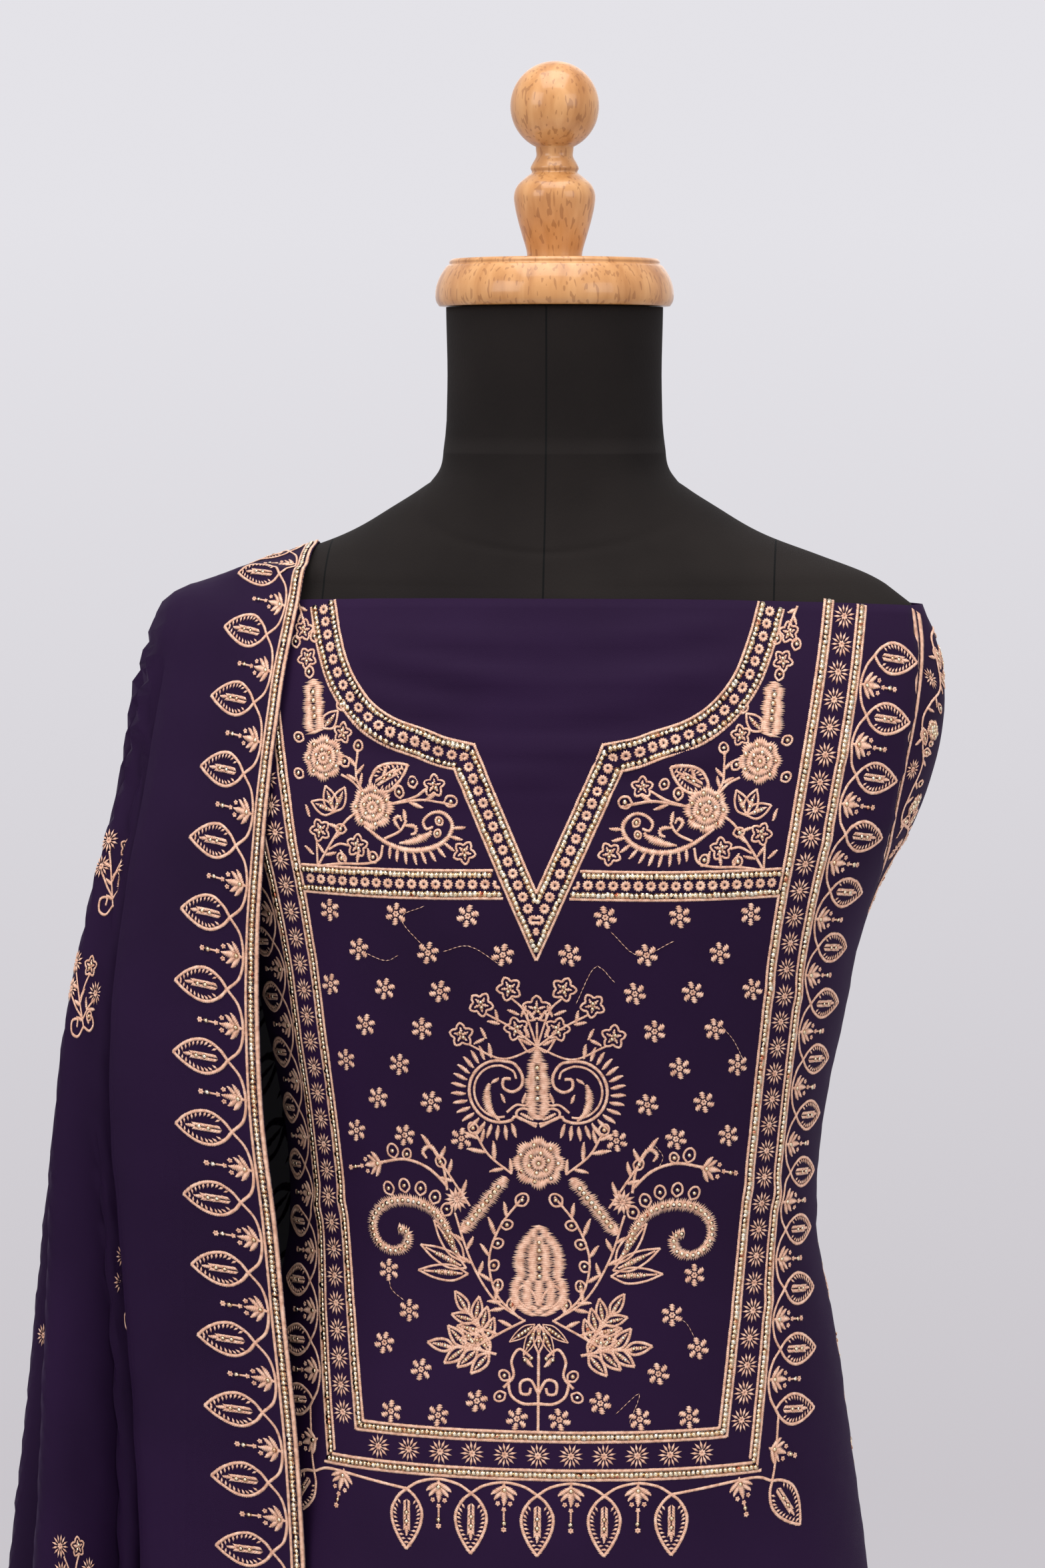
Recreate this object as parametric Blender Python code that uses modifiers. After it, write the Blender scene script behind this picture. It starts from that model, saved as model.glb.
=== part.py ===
"""A salwar kameez suit on a limbless dress form: kameez, dupatta and salwar, on a pole stand.

Metres, +Z up. The front faces -Y and the origin is on the floor, on the form's axis.
The cloth is rigid: each cut piece is a thin wall on a surface worked out from its sizes.
"""

import math

import bmesh
import bpy
import numpy as np

# Levels, from the floor up
FLOOR_PLATE_THICKNESS = 0.018
CUFF_BOTTOM = 0.070
CUFF_TOP = 0.115
KAMEEZ_HEM = 0.340
SALWAR_CROTCH = 0.755
SALWAR_WAIST = 1.035
WAISTBAND_DEPTH = 0.030
KAMEEZ_TOP = 1.375
KAMEEZ_TOP_DIP = 0.006
DIP_FADES_OUT = 1.25
CAP_TOP = 1.551

# Clearances and wall thicknesses
SEAM = 0.0003
FOLDED_SEAM = 0.0006
KAMEEZ_WALL = 0.0012
DUPATTA_WALL = 0.0012
SALWAR_WALL = 0.0014
PANEL_STEP = 0.0021
WAISTBAND_GAP = 0.0009
YOKE_GAP = 0.0018
LAY = 0.0045
EDGE_LEAN = 1.3
EDGE_REACH = 0.014

# Stand
POLE_RADIUS = 0.012
PLATE_RADIUS = 0.180

# The dress form: height, half width, front depth, back depth, fullness (superellipse power)
FORM_ROWS = [
    (1.5257, 0.0575, 0.0575, 0.0575, 2.0),
    (1.4800, 0.0570, 0.0570, 0.0570, 2.0),
    (1.4550, 0.0585, 0.0585, 0.0600, 2.0),
    (1.4360, 0.0640, 0.0615, 0.0640, 1.9),
    (1.4200, 0.0870, 0.0645, 0.0680, 1.7),
    (1.4050, 0.1140, 0.0690, 0.0720, 1.6),
    (1.3950, 0.1410, 0.0725, 0.0760, 1.5),
    (1.3850, 0.1670, 0.0755, 0.0800, 1.5),
    (1.3750, 0.1830, 0.0788, 0.0840, 1.5),
    (1.3690, 0.1900, 0.0810, 0.0860, 1.6),
    (1.3480, 0.1965, 0.0890, 0.0920, 1.8),
    (1.3200, 0.1980, 0.0980, 0.0980, 2.0),
    (1.2810, 0.1900, 0.1070, 0.1030, 2.1),
    (1.2450, 0.1650, 0.1150, 0.1040, 2.2),
    (1.2050, 0.1510, 0.1185, 0.1010, 2.2),
    (1.1650, 0.1430, 0.1130, 0.0960, 2.2),
    (1.1170, 0.1340, 0.1035, 0.0900, 2.2),
    (1.0600, 0.1285, 0.0960, 0.0850, 2.2),
    (1.0330, 0.1280, 0.0950, 0.0850, 2.2),
    (1.0040, 0.1300, 0.0960, 0.0880, 2.2),
    (0.9700, 0.1365, 0.0985, 0.0940, 2.2),
    (0.9360, 0.1435, 0.1015, 0.1000, 2.2),
    (0.8940, 0.1510, 0.1045, 0.1050, 2.2),
    (0.8520, 0.1560, 0.1070, 0.1080, 2.2),
    (0.8150, 0.1565, 0.1075, 0.1080, 2.2),
    (0.7900, 0.1550, 0.1065, 0.1060, 2.2),
    (0.7800, 0.1490, 0.1010, 0.1010, 2.2),
]

# The kameez, inside its wall: height, half width, front depth, back depth, fullness,
# and the x of the front panel's side edge
KAMEEZ_ROWS = [
    (1.3750, 0.1945, 0.0797, 0.0876, 1.55, 0.1890),
    (1.3480, 0.2050, 0.0905, 0.0962, 1.80, 0.1925),
    (1.3150, 0.2090, 0.1015, 0.1030, 2.00, 0.1905),
    (1.2810, 0.2030, 0.1105, 0.1070, 2.10, 0.1845),
    (1.2510, 0.1920, 0.1170, 0.1085, 2.20, 0.1785),
    (1.2260, 0.1780, 0.1205, 0.1080, 2.20, 0.1730),
    (1.2050, 0.1690, 0.1210, 0.1060, 2.20, 0.1665),
    (1.1890, 0.1635, 0.1200, 0.1040, 2.20, 0.1620),
    (1.1510, 0.1560, 0.1145, 0.0990, 2.20, 0.1552),
    (1.1170, 0.1485, 0.1085, 0.0950, 2.20, 0.1478),
    (1.0625, 0.1420, 0.1015, 0.0905, 2.20, 0.1413),
    (1.0330, 0.1420, 0.1005, 0.0905, 2.20, 0.1413),
    (1.0040, 0.1475, 0.1020, 0.0940, 2.20, 0.1468),
    (0.9700, 0.1540, 0.1050, 0.1000, 2.20, 0.1533),
    (0.9360, 0.1590, 0.1085, 0.1060, 2.20, 0.1582),
    (0.8940, 0.1650, 0.1130, 0.1115, 2.20, 0.1642),
    (0.8520, 0.1700, 0.1180, 0.1160, 2.20, 0.1692),
    (0.7000, 0.1905, 0.1380, 0.1380, 2.20, 0.1896),
    (0.5000, 0.2175, 0.1580, 0.1580, 2.15, 0.2165),
    (0.3400, 0.2390, 0.1760, 0.1760, 2.10, 0.2380),
]
FLUTE_START = 0.95
FLUTE_DEPTH = 0.011
FLUTE_COUNT = 9

# The dupatta's fall: height, x of its inner edge, x and depth of the line under the shoulder
# tip, x of its outermost folds, depth of its folds
FALL_ROWS = [
    (1.4100, 0.1260, 0.1935, 0.0300, 0.1980, 0.0000),
    (1.3785, 0.1280, 0.1935, 0.0330, 0.2120, 0.0000),
    (1.3480, 0.1325, 0.1990, 0.0375, 0.2200, 0.0005),
    (1.3150, 0.1365, 0.2050, 0.0450, 0.2280, 0.0025),
    (1.2800, 0.1405, 0.2095, 0.0530, 0.2330, 0.0040),
    (1.2400, 0.1440, 0.2160, 0.0640, 0.2420, 0.0075),
    (1.2000, 0.1465, 0.2215, 0.0740, 0.2505, 0.0110),
    (1.1500, 0.1468, 0.2255, 0.0810, 0.2610, 0.0150),
    (1.1000, 0.1445, 0.2245, 0.0850, 0.2690, 0.0180),
    (1.0500, 0.1385, 0.2190, 0.0860, 0.2765, 0.0200),
    (1.0000, 0.1340, 0.2145, 0.0860, 0.2830, 0.0215),
    (0.9360, 0.1280, 0.2080, 0.0870, 0.2910, 0.0240),
    (0.8520, 0.1235, 0.2030, 0.0890, 0.3030, 0.0260),
    (0.7000, 0.1210, 0.2000, 0.1060, 0.3270, 0.0285),
    (0.5000, 0.1190, 0.1980, 0.1310, 0.3540, 0.0280),
    (0.3400, 0.1170, 0.1960, 0.1520, 0.3740, 0.0260),
    (0.0200, 0.1150, 0.1940, 0.1600, 0.3940, 0.0280),
]
# The dupatta's line over the shoulder: x, height
SHOULDER_LINE = [(0.1260, 1.4022), (0.1500, 1.3935), (0.1700, 1.3862), (0.1935, 1.3785)]
DUPATTA_LENGTH = 2.20
DUPATTA_WIDTH = 0.86
SHOULDER_WIDTH = 0.080
SHOULDER_TIP = (0.1935, 1.3785)
TIP_ROUNDING = 0.030
LAY_START = 0.0015
STRIP_BULGE = 0.016
FOLD_COUNT = 4
FOLD_ROUNDNESS = 0.30
FOLD_DRIFT = 0.10
FOLD_UNEVENNESS = 0.22
FOLD_FADE = 0.50
SHOULDER_PIECE = 0.120

# The salwar's legs: share of the way down, x of the left leg's inner and outer side, x of the
# right leg's inner and outer side, half depth
LEG_ROWS = [
    (0.00, -0.0270, 0.1570, -0.0305, -0.1570, 0.1000),
    (0.25, -0.0275, 0.1500, -0.0315, -0.1550, 0.0990),
    (0.55, -0.0270, 0.1420, -0.0330, -0.1600, 0.0920),
    (0.80, -0.0235, 0.1260, -0.0350, -0.1600, 0.0800),
    (1.00, -0.0190, 0.1040, -0.0370, -0.1600, 0.0620),
]

# The turned cap and finial: radius, height
CAP_PROFILE = [
    (0.0545, 1.5510), (0.0558, 1.5497), (0.0558, 1.5482), (0.0575, 1.5470), (0.0605, 1.5425),
    (0.0625, 1.5375), (0.0632, 1.5330), (0.0628, 1.5290), (0.0612, 1.5263),
]
FINIAL_FOOT_RADIUS = 0.0145
BALL_RADIUS = 0.0235
BALL_CENTRE = 1.6355
FINIAL_PROFILE = [
    (0.0100, 1.6130), (0.0098, 1.6085), (0.0118, 1.6045), (0.0128, 1.6020), (0.0122, 1.5995),
    (0.0150, 1.5970), (0.0195, 1.5925), (0.0215, 1.5870), (0.0212, 1.5810), (0.0196, 1.5730),
    (0.0172, 1.5640), (0.0150, 1.5560), (FINIAL_FOOT_RADIUS, CAP_TOP + SEAM),
]


def smooth_column(rows, column):
    """A smooth function of the height through one column of a table."""
    table = np.array(rows)[::-1]
    heights, values = table[:, 0], table[:, column]
    slopes = np.gradient(values, heights)

    def at(height):
        h = np.clip(height, heights[0], heights[-1])
        i = np.clip(np.searchsorted(heights, h) - 1, 0, len(heights) - 2)
        span = heights[i + 1] - heights[i]
        t = (h - heights[i]) / span
        start = (1 + 2 * t) * (1 - t) ** 2 * values[i] + t * (1 - t) ** 2 * span * slopes[i]
        end = t * t * (3 - 2 * t) * values[i + 1] + t * t * (t - 1) * span * slopes[i + 1]
        return start + end

    return at


form_half, form_front, form_back, form_power = (smooth_column(FORM_ROWS, k) for k in range(1, 5))
kameez_half, kameez_front, kameez_back, kameez_power, kameez_edge = (
    smooth_column(KAMEEZ_ROWS, k) for k in range(1, 6)
)
fall_inner, fall_line, fall_line_depth, fall_outer, fold_depth = (
    smooth_column(FALL_ROWS, k) for k in range(1, 6)
)


def section_depth(x, half, depth, power):
    """How far in front of the axis a section's outline is at x; 0 past its half width."""
    share = np.clip(np.abs(x) / half, 0, 1)
    return depth * np.maximum(1 - share**power, 0) ** (1 / power)


def section_point(angle, half, front, back, power):
    """The outline's point at an angle from the middle front (0) to the middle back (pi)."""
    across, along = np.sin(angle), np.cos(angle)
    depth = np.where(along > 0, front, back)
    x = np.sign(across) * half * np.abs(across) ** (2 / power)
    y = -np.sign(along) * depth * np.abs(along) ** (2 / power)
    return x, y


# Blender helpers

for old in list(bpy.data.objects):
    bpy.data.objects.remove(old, do_unlink=True)
suit = bpy.data.collections.new("salwar_kameez_suit")
bpy.context.scene.collection.children.link(suit)


def make_material(name, colour, roughness):
    material = bpy.data.materials.new(name)
    material.use_nodes = True
    shader = material.node_tree.nodes["Principled BSDF"]
    shader.inputs["Base Color"].default_value = (*colour, 1)
    shader.inputs["Roughness"].default_value = roughness
    material.diffuse_color = (*colour, 1)
    return material


georgette = make_material("purple_georgette", (0.030, 0.010, 0.048), 0.75)
sheer_georgette = make_material("sheer_purple_georgette", (0.045, 0.018, 0.075), 0.70)
plain_lining = make_material("plain_purple_cloth", (0.026, 0.010, 0.040), 0.80)
jersey = make_material("black_jersey", (0.012, 0.011, 0.011), 0.90)
beech = make_material("varnished_beech", (0.620, 0.330, 0.130), 0.25)
steel = make_material("black_painted_steel", (0.020, 0.020, 0.021), 0.45)


def add_object(name, mesh, material):
    piece = bpy.data.objects.new(name, mesh)
    mesh.materials.append(material)
    suit.objects.link(piece)
    return piece


def loft(name, points, material, round_columns=False, ends=False):
    """A surface through rows of points, each row from left to right, the rows top to bottom."""
    rows, columns = points.shape[:2]
    build = bmesh.new()
    vertices = [[build.verts.new(p) for p in row] for row in points]
    last = columns if round_columns else columns - 1
    for i in range(rows - 1):
        for j in range(last):
            k = (j + 1) % columns
            corners = (vertices[i][j], vertices[i + 1][j], vertices[i + 1][k], vertices[i][k])
            build.faces.new(corners)
    if ends:
        build.faces.new(vertices[0])
        build.faces.new(vertices[-1][::-1])
    mesh = bpy.data.meshes.new(name)
    build.to_mesh(mesh)
    build.free()
    piece = add_object(name, mesh, material)
    mesh.shade_smooth()
    return piece


def give_wall(piece, thickness, outward=1.0):
    wall = piece.modifiers.new("cloth_wall", "SOLIDIFY")
    wall.thickness = thickness
    wall.offset = outward


def turn(name, profile, material, steps):
    """A turned piece: its profile runs down its outer side, from the axis to the axis."""
    outline = [(0, profile[0][1])] + list(profile) + [(0, profile[-1][1])]
    mesh = bpy.data.meshes.new(name)
    edges = [(i, i + 1) for i in range(len(outline) - 1)]
    mesh.from_pydata([(r, 0, z) for r, z in outline], edges, [])
    piece = add_object(name, mesh, material)
    screw = piece.modifiers.new("turning", "SCREW")
    screw.steps = steps
    screw.render_steps = steps
    screw.use_merge_vertices = True
    screw.merge_threshold = 0.0001
    return piece


# Dress form: a padded torso from the neck to the hip, with a wooden cap and finial on its neck


def make_torso(columns=28):
    angles = np.linspace(0, 2 * math.pi, columns, endpoint=False)
    points = []
    for height, half, front, back, power in FORM_ROWS:
        x, y = section_point(angles, half, front, back, power)
        points.append(np.stack([x, y, np.full(columns, height)], -1))
    loft("form_torso", np.array(points), jersey, round_columns=True, ends=True)


def make_wood(steps=24, ball_steps=8):
    turn("neck_cap", CAP_PROFILE, beech, steps)
    start = math.asin(FINIAL_PROFILE[0][0] / BALL_RADIUS)
    turns = np.linspace(0.22, math.pi - start, ball_steps)
    ball = [(BALL_RADIUS * math.sin(t), BALL_CENTRE + BALL_RADIUS * math.cos(t)) for t in turns]
    turn("finial", ball + FINIAL_PROFILE[1:], beech, 16)


def make_stand():
    bottom, top = FLOOR_PLATE_THICKNESS + SEAM, FORM_ROWS[-1][0] - SEAM
    bpy.ops.mesh.primitive_cylinder_add(
        vertices=20, radius=POLE_RADIUS, depth=top - bottom, location=(0, 0, (top + bottom) / 2)
    )
    pole = bpy.context.object
    pole.name = "pole"
    bpy.ops.mesh.primitive_cylinder_add(
        vertices=40,
        radius=PLATE_RADIUS,
        depth=FLOOR_PLATE_THICKNESS,
        location=(0, 0, FLOOR_PLATE_THICKNESS / 2),
    )
    plate = bpy.context.object
    plate.name = "base_plate"
    for piece in (pole, plate):
        piece.data.materials.append(steel)
        piece.users_collection[0].objects.unlink(piece)
        suit.objects.link(piece)


# Kameez: a front and a back panel of one width of cloth each, open at the top and the hem

SECTION_ANGLES = np.linspace(0, math.pi, 241)


def flute_share(height):
    """How deep the skirt's flutes are at a height, from 0 above the hip to 1 at the hem."""
    return np.clip((FLUTE_START - height) / (FLUTE_START - KAMEEZ_HEM), 0, 1) ** 1.4


def kameez_section(height, inset):
    """The right half of the section, middle front to middle back: x, y and length so far."""
    x, y = section_point(
        SECTION_ANGLES,
        kameez_half(height) - inset,
        kameez_front(height) - inset,
        kameez_back(height) - inset,
        kameez_power(height),
    )
    lengths = np.concatenate([[0], np.cumsum(np.hypot(np.diff(x), np.diff(y)))])
    return x, y, lengths


def kameez_point(length, height, inset, side):
    """The cloth's point at a length round the section from the middle front."""
    x, y, lengths = kameez_section(height, inset)
    px, py = np.interp(length, lengths, x), np.interp(length, lengths, y)
    angle = math.atan2(px * side, -py)
    swell = FLUTE_DEPTH * flute_share(height) * math.cos(FLUTE_COUNT * angle + 0.7)
    reach = 1 + swell / math.hypot(px, py)
    return px * side * reach, py * reach, height


def edge_length(height, inset):
    """The length round the section from the middle front to the front panel's side edge."""
    x, _, lengths = kameez_section(height, inset)
    front = SECTION_ANGLES <= math.pi / 2
    return float(np.interp(kameez_edge(height) - inset, x[front], lengths[front]))


PANEL_HEIGHTS = (
    [KAMEEZ_TOP, 1.350, 1.320, 1.290, 1.260, 1.230, 1.200, 1.165, 1.125, 1.085, 1.045, 1.005]
    + [0.965, 0.920, 0.870, 0.810, 0.740, 0.660, 0.570, 0.480, 0.410, KAMEEZ_HEM]
)


def top_dip(height, share):
    """The top edge hangs a little lower at the sides than at the middle."""
    near_top = max((height - DIP_FADES_OUT) / (KAMEEZ_TOP - DIP_FADES_OUT), 0)
    return KAMEEZ_TOP_DIP * share**2 * near_top


def panel_shares(columns):
    """Shares of a panel's half width, from -1 to 1, closer together near its side edges."""
    even = np.linspace(-1, 1, columns)
    return np.sign(even) * (1 - (1 - np.abs(even)) ** 1.5)


def make_kameez_front(columns=19):
    points = []
    for height in PANEL_HEIGHTS:
        row = []
        for share in panel_shares(columns):
            low = height - top_dip(height, share)
            length = abs(share) * edge_length(low, 0)
            row.append(kameez_point(length, low, 0, math.copysign(1, share)))
        points.append(row)
    front = loft("kameez_front", np.array(points), georgette)
    give_wall(front, KAMEEZ_WALL)


def make_kameez_back(columns=19, tuck=0.0015):
    points = []
    for height in PANEL_HEIGHTS:
        row = []
        for share in panel_shares(columns)[::-1]:
            low = height - top_dip(height, 1)
            whole = kameez_section(low, PANEL_STEP)[2][-1]
            start = edge_length(low, PANEL_STEP) - tuck
            length = whole - abs(share) * (whole - start)
            row.append(kameez_point(length, low, PANEL_STEP, math.copysign(1, share)))
        points.append(row)
    back = loft("kameez_back", np.array(points), georgette)
    give_wall(back, KAMEEZ_WALL)


# Dupatta: one long sheet over the wearer's right shoulder. Its inner strip lies flat over the
# shoulder. The rest hangs from the shoulder's tip like a cape, in folds that spread downwards.


def cover_depth(x, height, front):
    """How far from the axis the form or the kameez reaches under the dupatta."""
    form_reach = form_front(height) if front else form_back(height)
    cloth_reach = kameez_front(height) if front else kameez_back(height)
    above = np.maximum(height - KAMEEZ_TOP, 0)
    half = kameez_half(height) - EDGE_LEAN * above
    form = section_depth(x, form_half(height), form_reach, form_power(height))
    cloth = section_depth(x, half, cloth_reach, kameez_power(height))
    cloth = cloth + FLUTE_DEPTH * flute_share(height)
    return np.maximum(form, np.where(above > EDGE_REACH, 0, cloth))


def rounding(drop):
    """The share of the full depth at a drop below the shoulder: a quarter round."""
    return np.sqrt(np.maximum(1 - (1 - np.clip(drop / TIP_ROUNDING, 0, 1)) ** 2, 0))


def drops(start, end=0.02, near=60, far=180):
    """Heights down a fall line, close together over the shoulder's rounding."""
    first = start - 0.08 * np.linspace(0, 1, near) ** 2
    return np.concatenate([first, np.linspace(first[-1], end, far)[1:]])


def strip_line(share, front):
    """A line down the inner strip: share 0 is the dupatta's edge, 1 is under the tip."""
    line_x, line_z = np.array(SHOULDER_LINE).T
    start_x = line_x[0] + (line_x[-1] - line_x[0]) * share
    top = float(np.interp(start_x, line_x, line_z))
    z = drops(top)
    x = fall_inner(z) + (fall_line(z) - fall_inner(z)) * share
    drop = top - z
    edge = np.maximum.accumulate(cover_depth(fall_inner(z), z, front) + LAY)
    hang = edge + (fall_line_depth(z) - edge) * share + STRIP_BULGE * share * (1 - share)
    y = hang * rounding(drop)
    if share < 1:
        cover = cover_depth(x, z, front) + LAY * np.sqrt(np.clip(drop / LAY_START, 0, 1))
        y = np.maximum(cover, y)
    y[0] = 0
    return x, y, z


def fold_line(turn_angle):
    """A line down the folds: turn_angle pi/2 is under the tip in front, -pi/2 behind."""
    z = drops(SHOULDER_TIP[1])
    ramp = rounding(SHOULDER_TIP[1] - z)
    turned = turn_angle + math.pi / 2
    ends = np.clip(turned / FOLD_FADE, 0, 1) * np.clip((math.pi - turned) / FOLD_FADE, 0, 1)
    ends = ends * ends * (3 - 2 * ends)
    phase = 2 * FOLD_COUNT * (turned + FOLD_DRIFT * math.sin(3 * turned))
    shifted = turn_angle - ends * FOLD_ROUNDNESS * math.sin(2 * phase) / (2 * FOLD_COUNT)
    depth = fold_depth(z)
    reach = (fall_outer(z) - fall_line(z) - depth) * ramp
    across = fall_line_depth(z) * ramp
    x = fall_line(z) + reach * math.cos(shifted)
    y = across * math.sin(shifted)
    out_x, out_y = across * math.cos(shifted), reach * math.sin(shifted)
    size = np.maximum(np.hypot(out_x, out_y), 1e-9)
    unevenness = min(1 + FOLD_UNEVENNESS * math.sin(5 * turned + 0.8), 1)
    wave = depth * unevenness * ends * math.sin(phase)
    return x + wave * out_x / size, y + wave * out_y / size, z


def resample(line, steps):
    """A fall line's points at equal steps of length."""
    x, y, z = line
    lengths = np.hypot(np.hypot(np.diff(x), np.diff(y)), np.diff(z))
    lengths = np.concatenate([[0], np.cumsum(lengths)])
    return np.stack([np.interp(steps, lengths, c) for c in (x, y, z)], -1)


def dupatta_point(along, across):
    """The sheet's point: along it from the shoulder, + in front, across it from its inner edge."""
    if across <= SHOULDER_WIDTH:
        line = strip_line(across / SHOULDER_WIDTH, along >= 0)
        x, y, z = resample(line, [abs(along)])[0]
        return -x, -math.copysign(y, along), z
    past = across - SHOULDER_WIDTH
    angle = math.atan2(along, past)
    x, y, z = resample(fold_line(angle), [math.hypot(along, past)])[0]
    return -x, -y, z


def sheet_normals(points):
    """The outward direction at each point of a grid, from the faces round it."""
    across = points[:-1, 1:] - points[1:, :-1]
    down = points[1:, 1:] - points[:-1, :-1]
    faces = np.cross(down, across)
    faces /= np.linalg.norm(faces, axis=-1, keepdims=True)
    normals = np.zeros_like(points)
    for i, j in ((0, 0), (0, 1), (1, 0), (1, 1)):
        rows, columns = faces.shape[:2]
        normals[i : i + rows, j : j + columns] += faces
    return normals / np.linalg.norm(normals, axis=-1, keepdims=True)


def walled_loft(name, points, normals, thickness, material):
    """A wall through a grid of points: one ring of points a row, round the wall's two faces.

    Each square of the wall's two faces is split on the same, shorter diagonal.
    """
    outer, inner = points + normals * thickness / 2, points - normals * thickness / 2
    ring = np.concatenate([outer, inner[:, ::-1]], axis=1)
    rows, columns = ring.shape[:2]
    falling = np.linalg.norm(points[1:, 1:] - points[:-1, :-1], axis=-1)
    rising = np.linalg.norm(points[:-1, 1:] - points[1:, :-1], axis=-1)
    split_falling = falling <= rising
    build = bmesh.new()
    vertices = [[build.verts.new(p) for p in row] for row in ring]
    for i in range(rows - 1):
        for j in range(columns):
            k = (j + 1) % columns
            a, b, c, d = vertices[i][j], vertices[i + 1][j], vertices[i + 1][k], vertices[i][k]
            on_outer, square = j < columns // 2, min(j, columns - 2 - j)
            if square < 0 or square >= columns // 2 - 1 or split_falling[i, square] == on_outer:
                build.faces.new((a, b, c))
                build.faces.new((a, c, d))
            else:
                build.faces.new((a, b, d))
                build.faces.new((b, c, d))
    for row, turned in ((vertices[0], 1), (vertices[-1], -1)):
        for j in range(columns // 2 - 1):
            here, there = row[columns - 1 - j], row[columns - 2 - j]
            build.faces.new((row[j], row[j + 1], there)[::turned])
            build.faces.new((row[j], there, here)[::turned])
    mesh = bpy.data.meshes.new(name)
    build.to_mesh(mesh)
    build.free()
    add_object(name, mesh, material)
    mesh.shade_smooth()


def make_dupatta(across_steps=20, far_steps=18):
    near = [0.010, 0.022, 0.036, 0.052, 0.074, 0.100]
    far = list(np.linspace(SHOULDER_PIECE, DUPATTA_LENGTH / 2, far_steps))
    half = near + far
    along = np.array([-s for s in half[::-1]] + [0] + half)
    strip = np.linspace(0, SHOULDER_WIDTH, 4)[:-1]
    rest = np.linspace(SHOULDER_WIDTH, DUPATTA_WIDTH, across_steps)
    across = np.concatenate([rest[::-1], strip[::-1]])
    points = np.array([[dupatta_point(s, w) for w in across] for s in along])
    normals = sheet_normals(points)
    first, last = far_steps - 1, len(along) - far_steps
    pieces = {
        "dupatta_back_fall": (0, first, 0, -FOLDED_SEAM / 2),
        "dupatta_shoulder": (first, last, FOLDED_SEAM / 2, -FOLDED_SEAM / 2),
        "dupatta_front_fall": (last, len(along) - 1, FOLDED_SEAM / 2, 0),
    }
    for name, (start, end, start_gap, end_gap) in pieces.items():
        piece = points[start : end + 1].copy()
        piece[0] = [dupatta_point(along[start] + start_gap, w) for w in across]
        piece[-1] = [dupatta_point(along[end] + end_gap, w) for w in across]
        walled_loft(name, piece, normals[start : end + 1], DUPATTA_WALL, sheer_georgette)


# Salwar: a waistband and a yoke on the form, two loose legs sewn under the yoke, and cuffs


def form_ring(height, gap, columns):
    angles = np.linspace(0, 2 * math.pi, columns, endpoint=False)
    h = max(height, 0.80)
    x, y = section_point(
        angles, form_half(h) + gap, form_front(h) + gap, form_back(h) + gap, form_power(h)
    )
    return np.stack([x, y, np.full(columns, height)], -1)


def make_salwar_top(columns=28):
    seam = SALWAR_WAIST - WAISTBAND_DEPTH
    band_heights = [SALWAR_WAIST, SALWAR_WAIST - WAISTBAND_DEPTH / 2, seam]
    band = np.array([form_ring(h, WAISTBAND_GAP, columns) for h in band_heights])
    give_wall(loft("salwar_waistband", band, plain_lining, round_columns=True), 2 * SALWAR_WALL)
    heights = np.linspace(seam - SEAM, SALWAR_CROTCH + SEAM, 8)
    yoke = np.array([form_ring(h, YOKE_GAP, columns) for h in heights])
    give_wall(loft("salwar_yoke", yoke, plain_lining, round_columns=True), SALWAR_WALL)


def even_ring(x, y, columns):
    """A closed outline's points at equal lengths."""
    x, y = np.append(x, x[0]), np.append(y, y[0])
    lengths = np.concatenate([[0], np.cumsum(np.hypot(np.diff(x), np.diff(y)))])
    steps = np.linspace(0, lengths[-1], columns, endpoint=False)
    return np.interp(steps, lengths, x), np.interp(steps, lengths, y)


def leg_ring(side, share, columns):
    """A leg's outline: the yoke's half with a straight inner side on top, an oval below."""
    shares = [row[0] for row in LEG_ROWS]
    inner_column = 1 if side > 0 else 3
    inner, outer, depth = (
        float(np.interp(share, shares, [row[k] for row in LEG_ROWS]))
        for k in (inner_column, inner_column + 1, 5)
    )
    middle, half = (inner + outer) / 2, abs(outer - inner) / 2
    ring = form_ring(SALWAR_CROTCH, YOKE_GAP, 240)
    kept = ring[(ring[:, 0] - LEG_ROWS[0][inner_column]) * side > 0]
    turned = np.arctan2((kept[:, 0] - middle) * side, -kept[:, 1])
    kept = kept[np.argsort(turned)]
    top_x, top_y = even_ring(kept[:, 0], kept[:, 1], columns)
    turns = np.linspace(-math.pi, math.pi, 120, endpoint=False)
    oval_x = middle + side * half * np.sin(turns)
    low_x, low_y = even_ring(oval_x, -depth * np.cos(turns), columns)
    blend = min(share / 0.3, 1)
    blend = blend * blend * (3 - 2 * blend)
    return top_x + (low_x - top_x) * blend, top_y + (low_y - top_y) * blend


def make_leg(name, side, columns=18, rows=9):
    top, bottom = SALWAR_CROTCH, CUFF_TOP + SEAM
    pieces = {
        f"salwar_{name}_leg": (np.linspace(0, 1, rows), top, bottom, SALWAR_WALL),
        f"salwar_{name}_cuff": (np.ones(3), CUFF_TOP, CUFF_BOTTOM, 1.5 * SALWAR_WALL),
    }
    for piece, (shares, high, low, wall) in pieces.items():
        points = []
        for share, height in zip(shares, np.linspace(high, low, len(shares))):
            x, y = leg_ring(side, float(share), columns)
            points.append(np.stack([x, y, np.full(columns, height)], -1))
        points = np.array(points)
        if side < 0:
            points = points[:, ::-1]
        give_wall(loft(piece, points, plain_lining, round_columns=True), wall)


make_torso()
make_wood()
make_stand()
make_kameez_front()
make_kameez_back()
make_dupatta()
make_salwar_top()
make_leg("left", 1)
make_leg("right", -1)
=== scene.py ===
"""The looks of an embroidered salwar kameez suit on a limbless dress form.

Metres, +Z up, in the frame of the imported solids: the front faces -Y and the floor is z = 0.
The embroidery is designed flat, in millimetres, and then laid on the cloth.
"""

import math

import bmesh
import bpy
import numpy as np
from mathutils import Matrix, Vector


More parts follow.
